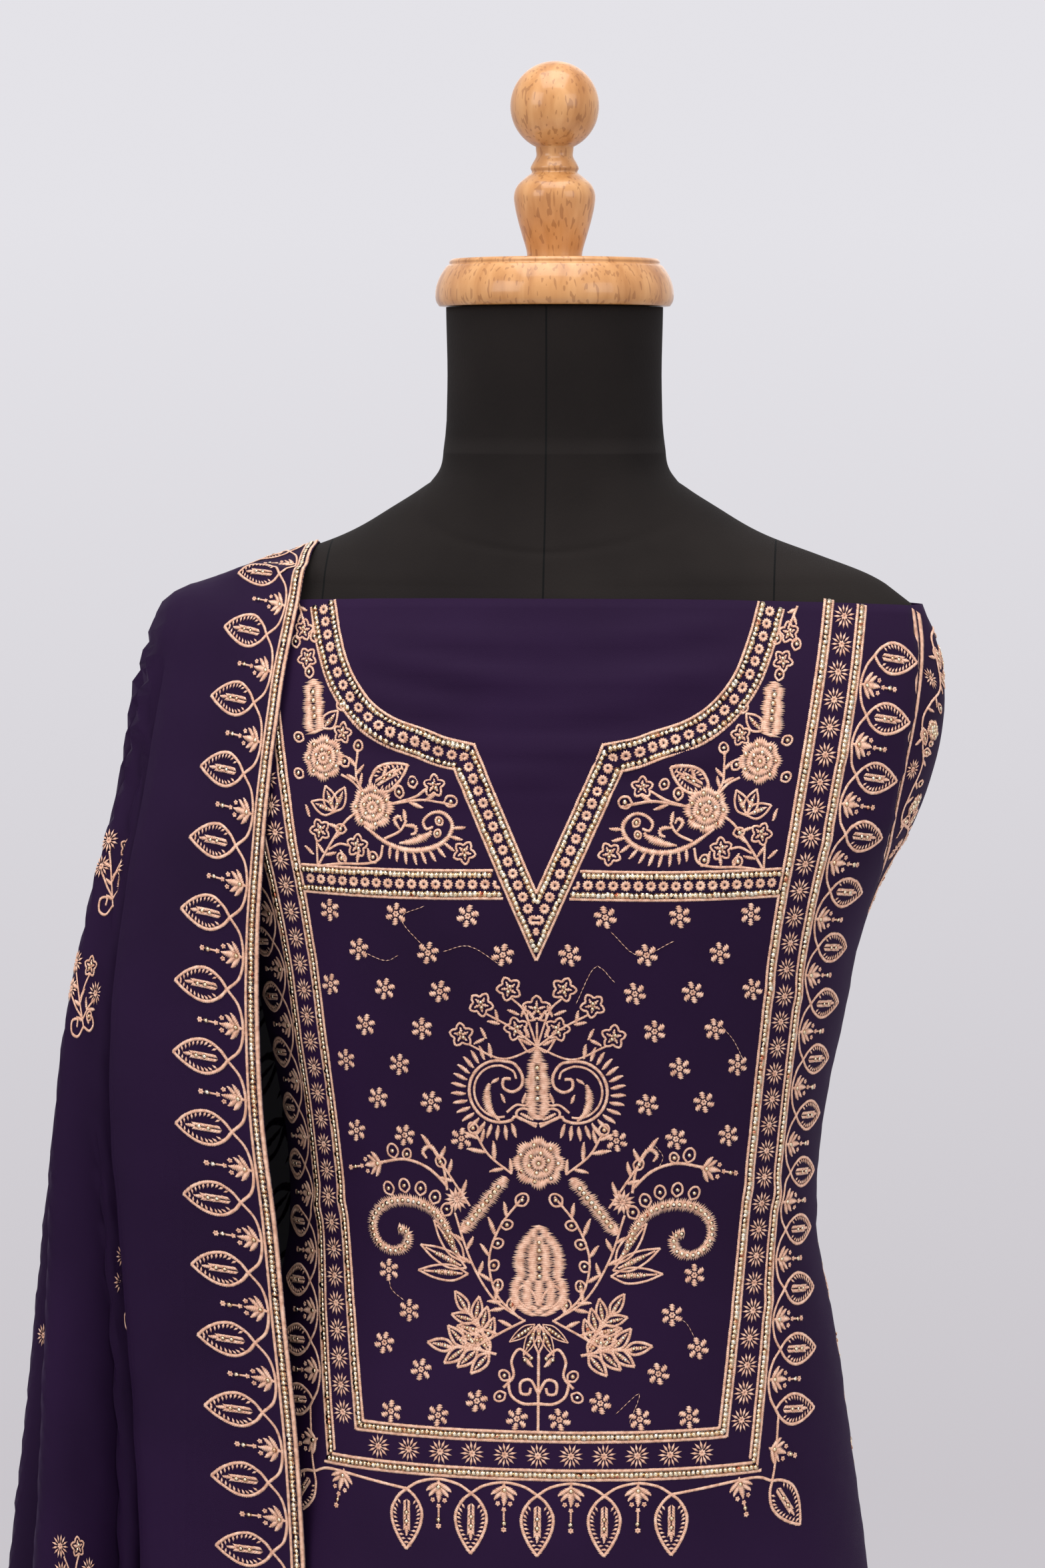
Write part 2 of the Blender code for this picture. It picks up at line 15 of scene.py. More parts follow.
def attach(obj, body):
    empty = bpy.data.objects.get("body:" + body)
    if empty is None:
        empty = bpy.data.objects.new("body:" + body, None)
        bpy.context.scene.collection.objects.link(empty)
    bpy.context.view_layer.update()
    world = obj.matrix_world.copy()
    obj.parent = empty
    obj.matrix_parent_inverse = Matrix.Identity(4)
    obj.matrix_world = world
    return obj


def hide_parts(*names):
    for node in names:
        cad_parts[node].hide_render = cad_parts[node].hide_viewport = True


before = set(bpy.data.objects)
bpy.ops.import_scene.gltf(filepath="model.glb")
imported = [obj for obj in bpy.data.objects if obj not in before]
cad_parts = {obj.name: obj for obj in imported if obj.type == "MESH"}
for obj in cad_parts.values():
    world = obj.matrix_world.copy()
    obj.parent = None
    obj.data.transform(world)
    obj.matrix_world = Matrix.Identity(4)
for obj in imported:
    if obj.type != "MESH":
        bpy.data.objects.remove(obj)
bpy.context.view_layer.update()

# Camera and studio
# A pale floor under soft lamps, in an even pale room. The camera stands in front, a little to
# the right, at the height of the form's neck, and looks at the chest.
CAMERA_DISTANCE = 2.2
CAMERA_HEIGHT = 1.48
CAMERA_TURN = math.radians(4.3)
AIM_ASIDE = -0.017
AIM_HEIGHT = 1.272
LENS = 94.7
FLOOR_RADIUS = 2.4
ROOM_TOP_COLOUR = (0.775, 0.765, 0.805)
ROOM_LOW_COLOUR = (0.590, 0.565, 0.600)
ROOM_FADE_START = -0.26
ROOM_FADE_END = 0.04
LAMP_TARGET = (0, 0, 1.25)
LAMPS = {
    "left_window": ((-1.9, -2.0, 2.4), 1.5, 26.0),
    "right_window": ((2.0, -1.8, 2.2), 1.4, 16.0),
    "overhead": ((0.0, -0.5, 3.1), 1.6, 34.0),
    "behind": ((0.0, 2.4, 2.4), 1.8, 6.0),
}


def aim(thing, place, target):
    thing.location = place
    thing.rotation_euler = (Vector(target) - Vector(place)).to_track_quat("-Z", "Y").to_euler()
    bpy.context.scene.collection.objects.link(thing)


camera = bpy.data.objects.new("camera", bpy.data.cameras.new("camera"))
camera.data.sensor_fit = "VERTICAL"
camera.data.sensor_height = 36
camera.data.lens = LENS
camera_right = Vector((math.cos(CAMERA_TURN), math.sin(CAMERA_TURN), 0))
camera_back = Vector((math.sin(CAMERA_TURN), -math.cos(CAMERA_TURN), 0))
aim(
    camera,
    camera_back * CAMERA_DISTANCE + Vector((0, 0, CAMERA_HEIGHT)),
    camera_right * AIM_ASIDE + Vector((0, 0, AIM_HEIGHT)),
)
bpy.context.scene.camera = camera

for lamp_name, (lamp_place, lamp_size, lamp_power) in LAMPS.items():
    lamp = bpy.data.lights.new(lamp_name, "AREA")
    lamp.size = lamp_size
    lamp.energy = lamp_power
    aim(bpy.data.objects.new(lamp_name, lamp), lamp_place, LAMP_TARGET)

room = bpy.data.worlds.new("pale_room")
room.use_nodes = True
room_place = room.node_tree.nodes.new("ShaderNodeTexCoord")
room_split = room.node_tree.nodes.new("ShaderNodeSeparateXYZ")
room_ramp = room.node_tree.nodes.new("ShaderNodeValToRGB")
room_level = room.node_tree.nodes.new("ShaderNodeMapRange")
room_level.inputs["From Min"].default_value = ROOM_FADE_START
room_level.inputs["From Max"].default_value = ROOM_FADE_END
room_ramp.color_ramp.elements[0].color = (*ROOM_LOW_COLOUR, 1)
room_ramp.color_ramp.elements[1].color = (*ROOM_TOP_COLOUR, 1)
room.node_tree.links.new(room_place.outputs["Generated"], room_split.inputs[0])
room.node_tree.links.new(room_split.outputs["Z"], room_level.inputs["Value"])
room.node_tree.links.new(room_level.outputs["Result"], room_ramp.inputs["Fac"])
room.node_tree.links.new(
    room_ramp.outputs["Color"], room.node_tree.nodes["Background"].inputs["Color"]
)
bpy.context.scene.world = room
bpy.context.scene.view_settings.view_transform = "Standard"


class Finish:
    """A material of one Principled shader, with procedural patterns on the piece's own place."""

    def __init__(self, name, colour, roughness, **constants):
        self.material = bpy.data.materials.new(name)
        self.material.use_nodes = True
        self.nodes, self.links = self.material.node_tree.nodes, self.material.node_tree.links
        self.shader = self.nodes["Principled BSDF"]
        self.shader.inputs["Base Color"].default_value = (*colour, 1)
        self.shader.inputs["Roughness"].default_value = roughness
        self.material.diffuse_color = (*colour, 1)
        for socket, value in constants.items():
            self.shader.inputs[socket.replace("_", " ")].default_value = value
        self.place = self.nodes.new("ShaderNodeTexCoord").outputs["Object"]

    def pattern(self, kind, stretch=(1, 1, 1), **settings):
        """A texture node on object coordinates, stretched per axis; returns its grey output."""
        mapping = self.nodes.new("ShaderNodeMapping")
        mapping.inputs["Scale"].default_value = stretch
        self.links.new(self.place, mapping.inputs["Vector"])
        texture = self.nodes.new("ShaderNodeTex" + kind)
        self.links.new(mapping.outputs["Vector"], texture.inputs["Vector"])
        for socket, value in settings.items():
            texture.inputs[socket.replace("_", " ")].default_value = value
        return texture.outputs.get("Fac") or texture.outputs[0]

    def shades(self, factor, *stops):
        """The base colour runs through (position, colour) stops by a pattern."""
        ramp = self.nodes.new("ShaderNodeValToRGB")
        band = ramp.color_ramp
        while len(band.elements) < len(stops):
            band.elements.new(0.5)
        for element, (position, colour) in zip(band.elements, stops):
            element.position = position
            element.color = (*colour, 1)
        self.links.new(factor, ramp.inputs["Fac"])
        self.links.new(ramp.outputs["Color"], self.shader.inputs["Base Color"])
        return ramp.outputs["Color"]

    def overlay(self, under, factor, colour, mode="MIX"):
        """Lays a colour over the base colour where the factor is 1."""
        mix = self.nodes.new("ShaderNodeMix")
        mix.data_type = "RGBA"
        mix.blend_type = mode
        self.links.new(factor, mix.inputs["Factor"])
        self.links.new(under, mix.inputs["A"])
        mix.inputs["B"].default_value = (*colour, 1)
        self.links.new(mix.outputs["Result"], self.shader.inputs["Base Color"])
        return mix.outputs["Result"]

    def relief(self, factor, depth, strength=1.0):
        """Bump of that depth in metres; a second call adds to the first."""
        bump = self.nodes.new("ShaderNodeBump")
        bump.inputs["Distance"].default_value = depth
        bump.inputs["Strength"].default_value = strength
        before = self.shader.inputs["Normal"].links
        if before:
            self.links.new(before[0].from_socket, bump.inputs["Normal"])
        self.links.new(factor, bump.inputs["Height"])
        self.links.new(bump.outputs["Normal"], self.shader.inputs["Normal"])

    def math(self, operation, *values):
        node = self.nodes.new("ShaderNodeMath")
        node.operation = operation
        for socket, value in zip(node.inputs, values):
            if isinstance(value, (int, float)):
                socket.default_value = value
            else:
                self.links.new(value, socket)
        return node.outputs[0]

    def line(self, axis, at, half_width):
        """1 on a thin line where a coordinate has that value, 0 elsewhere."""
        split = self.nodes.new("ShaderNodeSeparateXYZ")
        self.links.new(self.place, split.inputs[0])
        off = self.math("ABSOLUTE", self.math("SUBTRACT", split.outputs[axis], at))
        return self.math("LESS_THAN", off, half_width)


def new_piece(name, mesh, finish):
    piece = bpy.data.objects.new(name, mesh)
    bpy.context.scene.collection.objects.link(piece)
    mesh.materials.clear()
    mesh.materials.append(finish.material)
    return piece


floor_finish = Finish("pale_floor", (0.72, 0.72, 0.73), 0.85)
floor_shade = floor_finish.pattern("Noise", Scale=3.0)
floor_finish.shades(floor_shade, (0.3, (0.70, 0.70, 0.72)), (0.7, (0.74, 0.74, 0.75)))
build = bmesh.new()
bmesh.ops.create_circle(build, cap_ends=True, segments=96, radius=FLOOR_RADIUS)
floor_mesh = bpy.data.meshes.new("studio_floor")
build.to_mesh(floor_mesh)
build.free()
floor_mesh.transform(Matrix.Translation((0, 0, -0.0005)))
studio_floor = new_piece("studio_floor", floor_mesh, floor_finish)

# Dress form
# A padded torso covered in fine black jersey, sewn from panels with a collar seam, a middle
# seam and two side-front seams. A turned beech cap and finial close its neck.
FORM_ROWS = [
    (1.5257, 0.0575, 0.0575, 0.0575, 2.0),
    (1.4800, 0.0570, 0.0570, 0.0570, 2.0),
    (1.4550, 0.0585, 0.0585, 0.0600, 2.0),
    (1.4360, 0.0640, 0.0615, 0.0640, 1.9),
    (1.4200, 0.0870, 0.0645, 0.0680, 1.7),
    (1.4050, 0.1140, 0.0690, 0.0720, 1.6),
    (1.3950, 0.1410, 0.0725, 0.0760, 1.5),
    (1.3850, 0.1670, 0.0755, 0.0800, 1.5),
    (1.3750, 0.1830, 0.0788, 0.0840, 1.5),
    (1.3690, 0.1900, 0.0810, 0.0860, 1.6),
    (1.3480, 0.1965, 0.0890, 0.0920, 1.8),
    (1.3200, 0.1980, 0.0980, 0.0980, 2.0),
    (1.2810, 0.1900, 0.1070, 0.1030, 2.1),
    (1.2450, 0.1650, 0.1150, 0.1040, 2.2),
    (1.2050, 0.1510, 0.1185, 0.1010, 2.2),
    (1.1650, 0.1430, 0.1130, 0.0960, 2.2),
    (1.1170, 0.1340, 0.1035, 0.0900, 2.2),
    (1.0600, 0.1285, 0.0960, 0.0850, 2.2),
    (1.0330, 0.1280, 0.0950, 0.0850, 2.2),
    (1.0040, 0.1300, 0.0960, 0.0880, 2.2),
    (0.9700, 0.1365, 0.0985, 0.0940, 2.2),
    (0.9360, 0.1435, 0.1015, 0.1000, 2.2),
    (0.8940, 0.1510, 0.1045, 0.1050, 2.2),
    (0.8520, 0.1560, 0.1070, 0.1080, 2.2),
    (0.8150, 0.1565, 0.1075, 0.1080, 2.2),
    (0.7900, 0.1550, 0.1065, 0.1060, 2.2),
    (0.7800, 0.1490, 0.1010, 0.1010, 2.2),
]
FORM_COLUMNS = 108
FORM_FOOT, FORM_TOP = 0.78, 1.5257
COLLAR_LOW, COLLAR_HIGH = 1.38, 1.45
COLLAR_SEAM_SIDE = 1.434
COLLAR_SEAM_FRONT = 1.398
SEAM_DENT = 0.0007
SEAM_WIDTH = 0.0016
SIDE_FRONT_SEAM = 0.118
SEAM_LINE_HALF = 0.0005


def smooth_column(rows, column):
    """A smooth function of the height through one column of a table."""
    table = np.array(rows)[::-1]
    heights, values = table[:, 0], table[:, column]
    slopes = np.gradient(values, heights)

    def at(height):
        h = np.clip(height, heights[0], heights[-1])
        i = np.clip(np.searchsorted(heights, h) - 1, 0, len(heights) - 2)
        span = heights[i + 1] - heights[i]
        t = (h - heights[i]) / span
        start = (1 + 2 * t) * (1 - t) ** 2 * values[i] + t * (1 - t) ** 2 * span * slopes[i]
        end = t * t * (3 - 2 * t) * values[i + 1] + t * t * (t - 1) * span * slopes[i + 1]
        return start + end

    return at


def section_point(angle, half, front, back, power):
    """The outline's point at an angle from the middle front (0) to the middle back (pi)."""
    across, along = np.sin(angle), np.cos(angle)
    depth = np.where(along > 0, front, back)
    x = np.sign(across) * half * np.abs(across) ** (2 / power)
    y = -np.sign(along) * depth * np.abs(along) ** (2 / power)
    return x, y


def lengths_so_far(*axes):
    """The length run to each point of a line, from its coordinates axis by axis."""
    steps = np.diff(axes[0])
    for axis in axes[1:]:
        steps = np.hypot(steps, np.diff(axis))
    return np.concatenate([[0], np.cumsum(steps)])


def grid_mesh(name, points, round_columns=False, ends=False):
    """A smooth surface through rows of points; its faces point out when rows run down."""
    rows, columns = points.shape[:2]
    index = np.arange(rows * columns).reshape(rows, columns)
    if round_columns:
        index = np.concatenate([index, index[:, :1]], axis=1)
    corners = (index[:-1, :-1], index[1:, :-1], index[1:, 1:], index[:-1, 1:])
    faces = np.stack(corners, -1).reshape(-1, 4).tolist()
    places = points.reshape(-1, 3).tolist()
    if ends:
        for ring, turned in ((index[0], 1), (index[-1], -1)):
            ring = ring[:columns]
            middle = len(places)
            places.append(np.array([places[i] for i in ring]).mean(0).tolist())
            for a, b in zip(ring, np.roll(ring, -1)):
                faces.append([int(a), int(b), middle][::turned])
    mesh = bpy.data.meshes.new(name)
    mesh.from_pydata(places, [], faces)
    mesh.shade_smooth()
    return mesh


form_half, form_front, form_back, form_power = (smooth_column(FORM_ROWS, k) for k in range(1, 5))
form_heights = np.concatenate([
    np.arange(FORM_FOOT, COLLAR_LOW, 0.010),
    np.arange(COLLAR_LOW, COLLAR_HIGH, 0.0014),
    np.arange(COLLAR_HIGH, FORM_TOP, 0.008),
    [FORM_TOP],
])[::-1]
form_angles = np.linspace(0, 2 * math.pi, FORM_COLUMNS, endpoint=False)
form_points = []
for height in form_heights:
    x, y = section_point(
        form_angles, form_half(height), form_front(height), form_back(height), form_power(height)
    )
    facing = np.clip(np.cos(form_angles), -0.6, 1)
    seam = COLLAR_SEAM_SIDE - (COLLAR_SEAM_SIDE - COLLAR_SEAM_FRONT) * np.abs(facing) ** 1.6
    dent = 1 - SEAM_DENT * np.exp(-(((height - seam) / SEAM_WIDTH) ** 2)) / np.hypot(x, y)
    form_points.append(np.stack([x * dent, y * dent, np.full(FORM_COLUMNS, height)], -1))
torso_mesh = grid_mesh("form_jersey", np.array(form_points), round_columns=True, ends=True)

jersey = Finish("black_jersey", (0.012, 0.011, 0.010), 0.88, Specular_IOR_Level=0.12)
jersey_cloud = jersey.pattern("Noise", Scale=9.0, Detail=4.0)
jersey_colour = jersey.shades(
    jersey_cloud, (0.30, (0.0085, 0.0065, 0.0060)), (0.72, (0.0150, 0.0118, 0.0105))
)
for seam_place in (0.0, SIDE_FRONT_SEAM, -SIDE_FRONT_SEAM):
    jersey_seam = jersey.line("X", seam_place, SEAM_LINE_HALF)
    jersey_colour = jersey.overlay(jersey_colour, jersey_seam, (0.003, 0.003, 0.003))
jersey.relief(jersey.pattern("Noise", stretch=(1, 1, 0.35), Scale=1500.0, Detail=1.0), 0.0003, 0.6)
jersey.relief(jersey.pattern("Noise", Scale=45.0, Detail=3.0), 0.0006, 0.25)
form_jersey = new_piece("form_jersey", torso_mesh, jersey)
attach(form_jersey, "root")
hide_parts("form_torso")

# Neck cap, finial and stand
# The cap and finial are turned from one beech blank each and varnished. The pole stands in a
# plain steel plate with a black coat.
CAP_PROFILE = [
    (0.0545, 1.5510), (0.0558, 1.5497), (0.0558, 1.5482), (0.0575, 1.5470), (0.0605, 1.5425),
    (0.0625, 1.5375), (0.0632, 1.5330), (0.0628, 1.5290), (0.0612, 1.5263),
]
BALL_RADIUS = 0.0235
BALL_CENTRE = 1.6312
FINIAL_PROFILE = [
    (0.0100, 1.6087), (0.0098, 1.6050), (0.0118, 1.6012), (0.0128, 1.5988), (0.0122, 1.5965),
    (0.0150, 1.5942), (0.0195, 1.5900), (0.0215, 1.5850), (0.0212, 1.5795), (0.0196, 1.5720),
    (0.0172, 1.5635), (0.0150, 1.5560), (0.0145, 1.5513),
]
TURNING_STEPS = 72


def smooth_run(points, steps=6):
    """A soft curve through points, as many places between two of them as steps."""
    points = np.array(points, float)
    ends = np.vstack([2 * points[0] - points[1], points, 2 * points[-1] - points[-2]])
    t = np.linspace(0, 1, steps + 1)[:-1, None]
    fine = []
    for a, b, c, d in zip(ends, ends[1:], ends[2:], ends[3:]):
        bend = (2 * a - 5 * b + 4 * c - d) * t**2 + (3 * b - a - 3 * c + d) * t**3
        fine.append(0.5 * (2 * b + (c - a) * t + bend))
    return np.vstack(fine + [points[-1:]])


def turned_piece(name, profile, finish):
    """A turned piece from its outer profile, run from top to bottom."""
    angles = np.linspace(0, 2 * math.pi, TURNING_STEPS, endpoint=False)
    ring = np.stack([np.sin(angles), -np.cos(angles)], -1)
    points = np.array([[(r * x, r * y, z) for x, y in ring] for r, z in profile])
    piece = new_piece(name, grid_mesh(name, points, round_columns=True, ends=True), finish)
    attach(piece, "root")
    return piece


beech = Finish(
    "varnished_beech", (0.50, 0.24, 0.085), 0.34, Specular_IOR_Level=0.35, Coat_Weight=0.35,
    Coat_Roughness=0.10,
)
beech_grain = beech.pattern("Noise", stretch=(1, 1, 0.16), Scale=95.0, Detail=5.0, Distortion=0.6)
beech_colour = beech.shades(
    beech_grain,
    (0.28, (0.37, 0.150, 0.040)),
    (0.50, (0.50, 0.235, 0.080)),
    (0.74, (0.60, 0.315, 0.125)),
)
beech_fleck = beech.math(
    "GREATER_THAN", beech.pattern("Noise", stretch=(1, 1, 0.22), Scale=620.0, Detail=0.0), 0.655
)
beech_fleck = beech.math("MULTIPLY", beech_fleck, 0.45)
beech.overlay(beech_colour, beech_fleck, (0.20, 0.065, 0.016))
beech.relief(beech_grain, 0.0003, 0.15)

wood_cap = turned_piece("wood_cap", smooth_run(CAP_PROFILE, 4), beech)
ball_start = math.asin(FINIAL_PROFILE[0][0] / BALL_RADIUS)
ball = [
    (BALL_RADIUS * math.sin(t), BALL_CENTRE + BALL_RADIUS * math.cos(t))
    for t in np.linspace(0.02, math.pi - ball_start, 34)
]
wood_finial = turned_piece("wood_finial", ball + list(smooth_run(FINIAL_PROFILE, 6)[1:]), beech)
for piece, node in ((wood_cap, "neck_cap"), (wood_finial, "finial")):
    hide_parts(node)

coated_steel = Finish("black_coated_steel", (0.02, 0.02, 0.021), 0.42)
coated_steel.relief(coated_steel.pattern("Noise", Scale=700.0, Detail=2.0), 0.0002, 0.3)
steel_shade = coated_steel.pattern("Noise", Scale=14.0)
coated_steel.shades(steel_shade, (0.3, (0.016, 0.016, 0.017)), (0.7, (0.025, 0.025, 0.026)))
for node in ("pole", "base_plate"):
    stand_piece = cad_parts[node]
    stand_piece.data.materials.clear()
    stand_piece.data.materials.append(coated_steel.material)

# Kameez
# One width of crepe georgette in front and one behind, not yet sewn together, open at the top,
# the sides and the hem. The front's side edges are turned under and ripple a little.
KAMEEZ_ROWS = [
    (1.3750, 0.1945, 0.0797, 0.0876, 1.55, 0.1890),
    (1.3480, 0.2050, 0.0905, 0.0962, 1.80, 0.1925),
    (1.3150, 0.2090, 0.1015, 0.1030, 2.00, 0.1905),
    (1.2810, 0.2030, 0.1105, 0.1070, 2.10, 0.1845),
    (1.2510, 0.1920, 0.1170, 0.1085, 2.20, 0.1785),
    (1.2260, 0.1780, 0.1205, 0.1080, 2.20, 0.1730),
    (1.2050, 0.1690, 0.1210, 0.1060, 2.20, 0.1665),
    (1.1890, 0.1635, 0.1200, 0.1040, 2.20, 0.1620),
    (1.1510, 0.1560, 0.1145, 0.0990, 2.20, 0.1552),
    (1.1170, 0.1485, 0.1085, 0.0950, 2.20, 0.1478),
    (1.0625, 0.1420, 0.1015, 0.0905, 2.20, 0.1413),
    (1.0330, 0.1420, 0.1005, 0.0905, 2.20, 0.1413),
    (1.0040, 0.1475, 0.1020, 0.0940, 2.20, 0.1468),
    (0.9700, 0.1540, 0.1050, 0.1000, 2.20, 0.1533),
    (0.9360, 0.1590, 0.1085, 0.1060, 2.20, 0.1582),
    (0.8940, 0.1650, 0.1130, 0.1115, 2.20, 0.1642),
    (0.8520, 0.1700, 0.1180, 0.1160, 2.20, 0.1692),
    (0.7000, 0.1905, 0.1380, 0.1380, 2.20, 0.1896),
    (0.5000, 0.2175, 0.1580, 0.1580, 2.15, 0.2165),
    (0.3400, 0.2390, 0.1760, 0.1760, 2.10, 0.2380),
]
KAMEEZ_TOP = 1.375
KAMEEZ_HEM = 0.340
KAMEEZ_TOP_DIP = 0.006
DIP_FADES_OUT = 1.25
PANEL_STEP = 0.0021
BACK_TUCK = 0.0015
FLUTE_START = 0.95
FLUTE_DEPTH = 0.011
FLUTE_COUNT = 9
CLOTH_THICKNESS = 0.0006
SKIRT_CREASE = 0.0016
CHEST_CREASE_SCALE = 1.7
MAP_STEP = 0.002
MAP_HALF = 0.360
# Soft creases: height in the middle, rise to the right, bow at the sides, depth, half width
CHEST_CREASES = [
    (1.3535, 0.002, 0.006, 0.0020, 0.0032),
    (1.3330, -0.004, 0.010, 0.0030, 0.0040),
    (1.3180, 0.003, 0.012, 0.0018, 0.0034),
    (1.2990, -0.002, 0.010, 0.0024, 0.0034),
    (1.2860, 0.004, 0.008, 0.0018, 0.0028),
    (1.2740, -0.003, 0.008, 0.0015, 0.0026),
]
# Drag lines near the right edge and the waist: side, height, slope, depth, half width, reach
SIDE_CREASES = [
    (0.175, 1.300, 0.30, 0.0012, 0.0045, 0.030),
    (0.165, 1.255, 0.20, 0.0010, 0.0040, 0.030),
    (0.150, 1.170, -0.15, 0.0012, 0.0060, 0.040),
    (0.140, 1.060, -0.35, 0.0016, 0.0060, 0.040),
    (-0.140, 1.050, 0.30, 0.0014, 0.0060, 0.040),
    (0.135, 1.010, 0.25, 0.0012, 0.0050, 0.035),
    (-0.165, 1.290, -0.25, 0.0010, 0.0045, 0.030),
]

kameez_half, kameez_front, kameez_back, kameez_power, kameez_edge = (
    smooth_column(KAMEEZ_ROWS, k) for k in range(1, 6)
)
section_angles = np.linspace(0, math.pi, 361)


def flute_share(height):
    """How deep the skirt's flutes are at a height, from 0 above the hip to 1 at the hem."""
    return np.clip((FLUTE_START - height) / (FLUTE_START - KAMEEZ_HEM), 0, 1) ** 1.4


def kameez_section(height, inset):
    """The right half of the section, middle front to middle back: x, y and length so far."""
    x, y = section_point(
        section_angles,
        kameez_half(height) - inset,
        kameez_front(height) - inset,
        kameez_back(height) - inset,
        kameez_power(height),
    )
    return x, y, lengths_so_far(x, y)


def kameez_row(lengths_wanted, height, inset):
    """Points at signed lengths round the section from the middle front, the right side +."""
    x, y, lengths = kameez_section(height, inset)
    side = np.sign(lengths_wanted)
    px = np.interp(np.abs(lengths_wanted), lengths, x) * side
    py = np.interp(np.abs(lengths_wanted), lengths, y)
    swell = FLUTE_DEPTH * flute_share(height) * np.cos(FLUTE_COUNT * np.arctan2(px, -py) + 0.7)
    reach = 1 + swell / np.hypot(px, py)
    return np.stack([px * reach, py * reach, np.full(len(px), height)], -1)


def front_edge_length(height, inset):
    """The length round the section from the middle front to the front panel's side edge."""
    x, _, lengths = kameez_section(height, inset)
    front = section_angles <= math.pi / 2
    return float(np.interp(kameez_edge(height) - inset, x[front], lengths[front]))


def outward(points):
    """The outward direction at each point of a grid whose rows run up and columns to the right."""
    across, up = np.gradient(points, axis=1), np.gradient(points, axis=0)
    normals = np.cross(across, up)
    return normals / np.maximum(np.linalg.norm(normals, axis=-1, keepdims=True), 1e-12)


def look_up(table, first, second, a, b):
    """The table's values between its even steps: first runs down its rows, second across."""
    i = np.clip((np.asarray(a) - first[0]) / (first[1] - first[0]), 0, len(first) - 1.001)
    j = np.clip((np.asarray(b) - second[0]) / (second[1] - second[0]), 0, len(second) - 1.001)
    i0, j0 = i.astype(int), j.astype(int)
    fi, fj = (i - i0)[..., None], (j - j0)[..., None]
    near = table[i0, j0] * (1 - fi) + table[i0 + 1, j0] * fi
    far = table[i0, j0 + 1] * (1 - fi) + table[i0 + 1, j0 + 1] * fi
    return near * (1 - fj) + far * fj


def cloth_map(first, second, points):
    """Looks up a cloth by its flat sizes: the place and, with a lift, that far out of it."""
    both = np.concatenate([points, outward(points)], axis=-1).swapaxes(0, 1)

    def at(a, b, lift=0.0):
        mixed = look_up(both, first, second, a, b)
        return mixed[..., :3] + mixed[..., 3:] * np.asarray(lift)[..., None]

    return at


def waves(a, b, seed, count, longest, shortest):
    """Uneven soft waves, about -1 to 1, over a cloth's flat sizes."""
    draw = np.random.default_rng(seed)
    total = np.zeros(np.broadcast(a, b).shape)
    for length in np.geomspace(longest, shortest, count):
        turn, phase = draw.uniform(0, 2 * math.pi, 2)
        total += np.sin(2 * math.pi * (a * math.cos(turn) + b * math.sin(turn)) / length + phase)
    return total / count


def skirt_creases(u, z, seed, longest, shortest):
    """Long upright creases that fade in below the hip."""
    skirt = np.clip((0.90 - z) / 0.20, 0, 1)
    return skirt * SKIRT_CREASE * (1 + waves(u, z * 0.15, seed, 5, longest, shortest))


def front_creases(u, z):
    """How far the front stands out in its creases."""
    out = 0.00030 * (1 + waves(u, z, 5, 7, 0.060, 0.014))
    chest = np.clip((0.115 - np.abs(u)) / 0.03, 0, 1) * np.clip((z - 1.255) / 0.02, 0, 1)
    for height, rise, bow, depth, width in CHEST_CREASES:
        line = height + rise * u / 0.1 + bow * (u / 0.1) ** 2
        fold = 1 / (1 + ((z - line) / width) ** 2)
        out = out + CHEST_CREASE_SCALE * depth * fold * chest * (0.75 + 0.25 * np.sin(u * 61 + height * 300))
    for side, height, slope, depth, width, reach in SIDE_CREASES:
        line = height + slope * (u - side)
        near = np.exp(-(((u - side) / reach) ** 2))
        out = out + depth * near * np.exp(-(((z - line) / width) ** 2))
    return out + skirt_creases(u, z, 8, 0.11, 0.035)


map_across = np.arange(-MAP_HALF, MAP_HALF + MAP_STEP / 2, MAP_STEP)
map_up = np.arange(KAMEEZ_HEM - 0.004, KAMEEZ_TOP + 0.004, MAP_STEP)
grid_u, grid_z = np.meshgrid(map_across, map_up)
front_base = np.array([kameez_row(map_across, z, 0) for z in map_up])
front_base = front_base + outward(front_base) * front_creases(grid_u, grid_z)[..., None]
front_at = cloth_map(map_across, map_up, front_base)


def panel_heights(rows):
    return np.linspace(KAMEEZ_HEM, KAMEEZ_TOP, rows)


def top_dip(height, share):
    """The top edge hangs a little lower at the sides than at the middle."""
    near_top = np.clip((height - DIP_FADES_OUT) / (KAMEEZ_TOP - DIP_FADES_OUT), 0, 1)
    return KAMEEZ_TOP_DIP * share**2 * near_top


def edge_ripple(z):
    """The front's side edge runs in and out a little."""
    return 0.0011 * np.sin(z * 210 + 1.0) + 0.0008 * np.sin(z * 470) - 0.0008


front_columns, front_rows = 101, 210
shares = np.linspace(-1, 1, front_columns)
front_points = []
for height in panel_heights(front_rows):
    low = height - top_dip(height, shares)
    edge = front_edge_length(height, 0) + edge_ripple(height) * (height > 0.36)
    front_points.append(front_at(shares * edge, low))
front_points = np.array(front_points)


def give_wall(piece, thickness, side=1.0):
    wall = piece.modifiers.new("cloth_wall", "SOLIDIFY")
    wall.thickness = thickness
    wall.offset = side
    wall.use_even_offset = False


def dyed_cloth(name, dark, light, **constants):
    """Crepe georgette: a fine uneven grain, and a soft change of tone over a hand's width."""
    cloth = Finish(name, dark, 0.72, **constants)
    tone = cloth.pattern("Noise", Scale=7.0, Detail=3.0)
    colour = cloth.shades(tone, (0.30, dark), (0.72, light))
    grain = cloth.pattern("Noise", Scale=2600.0, Detail=2.0, Roughness=0.7)
    cloth.overlay(colour, cloth.math("MULTIPLY", grain, 0.30), light)
    cloth.relief(grain, 0.00025, 0.55)
    return cloth


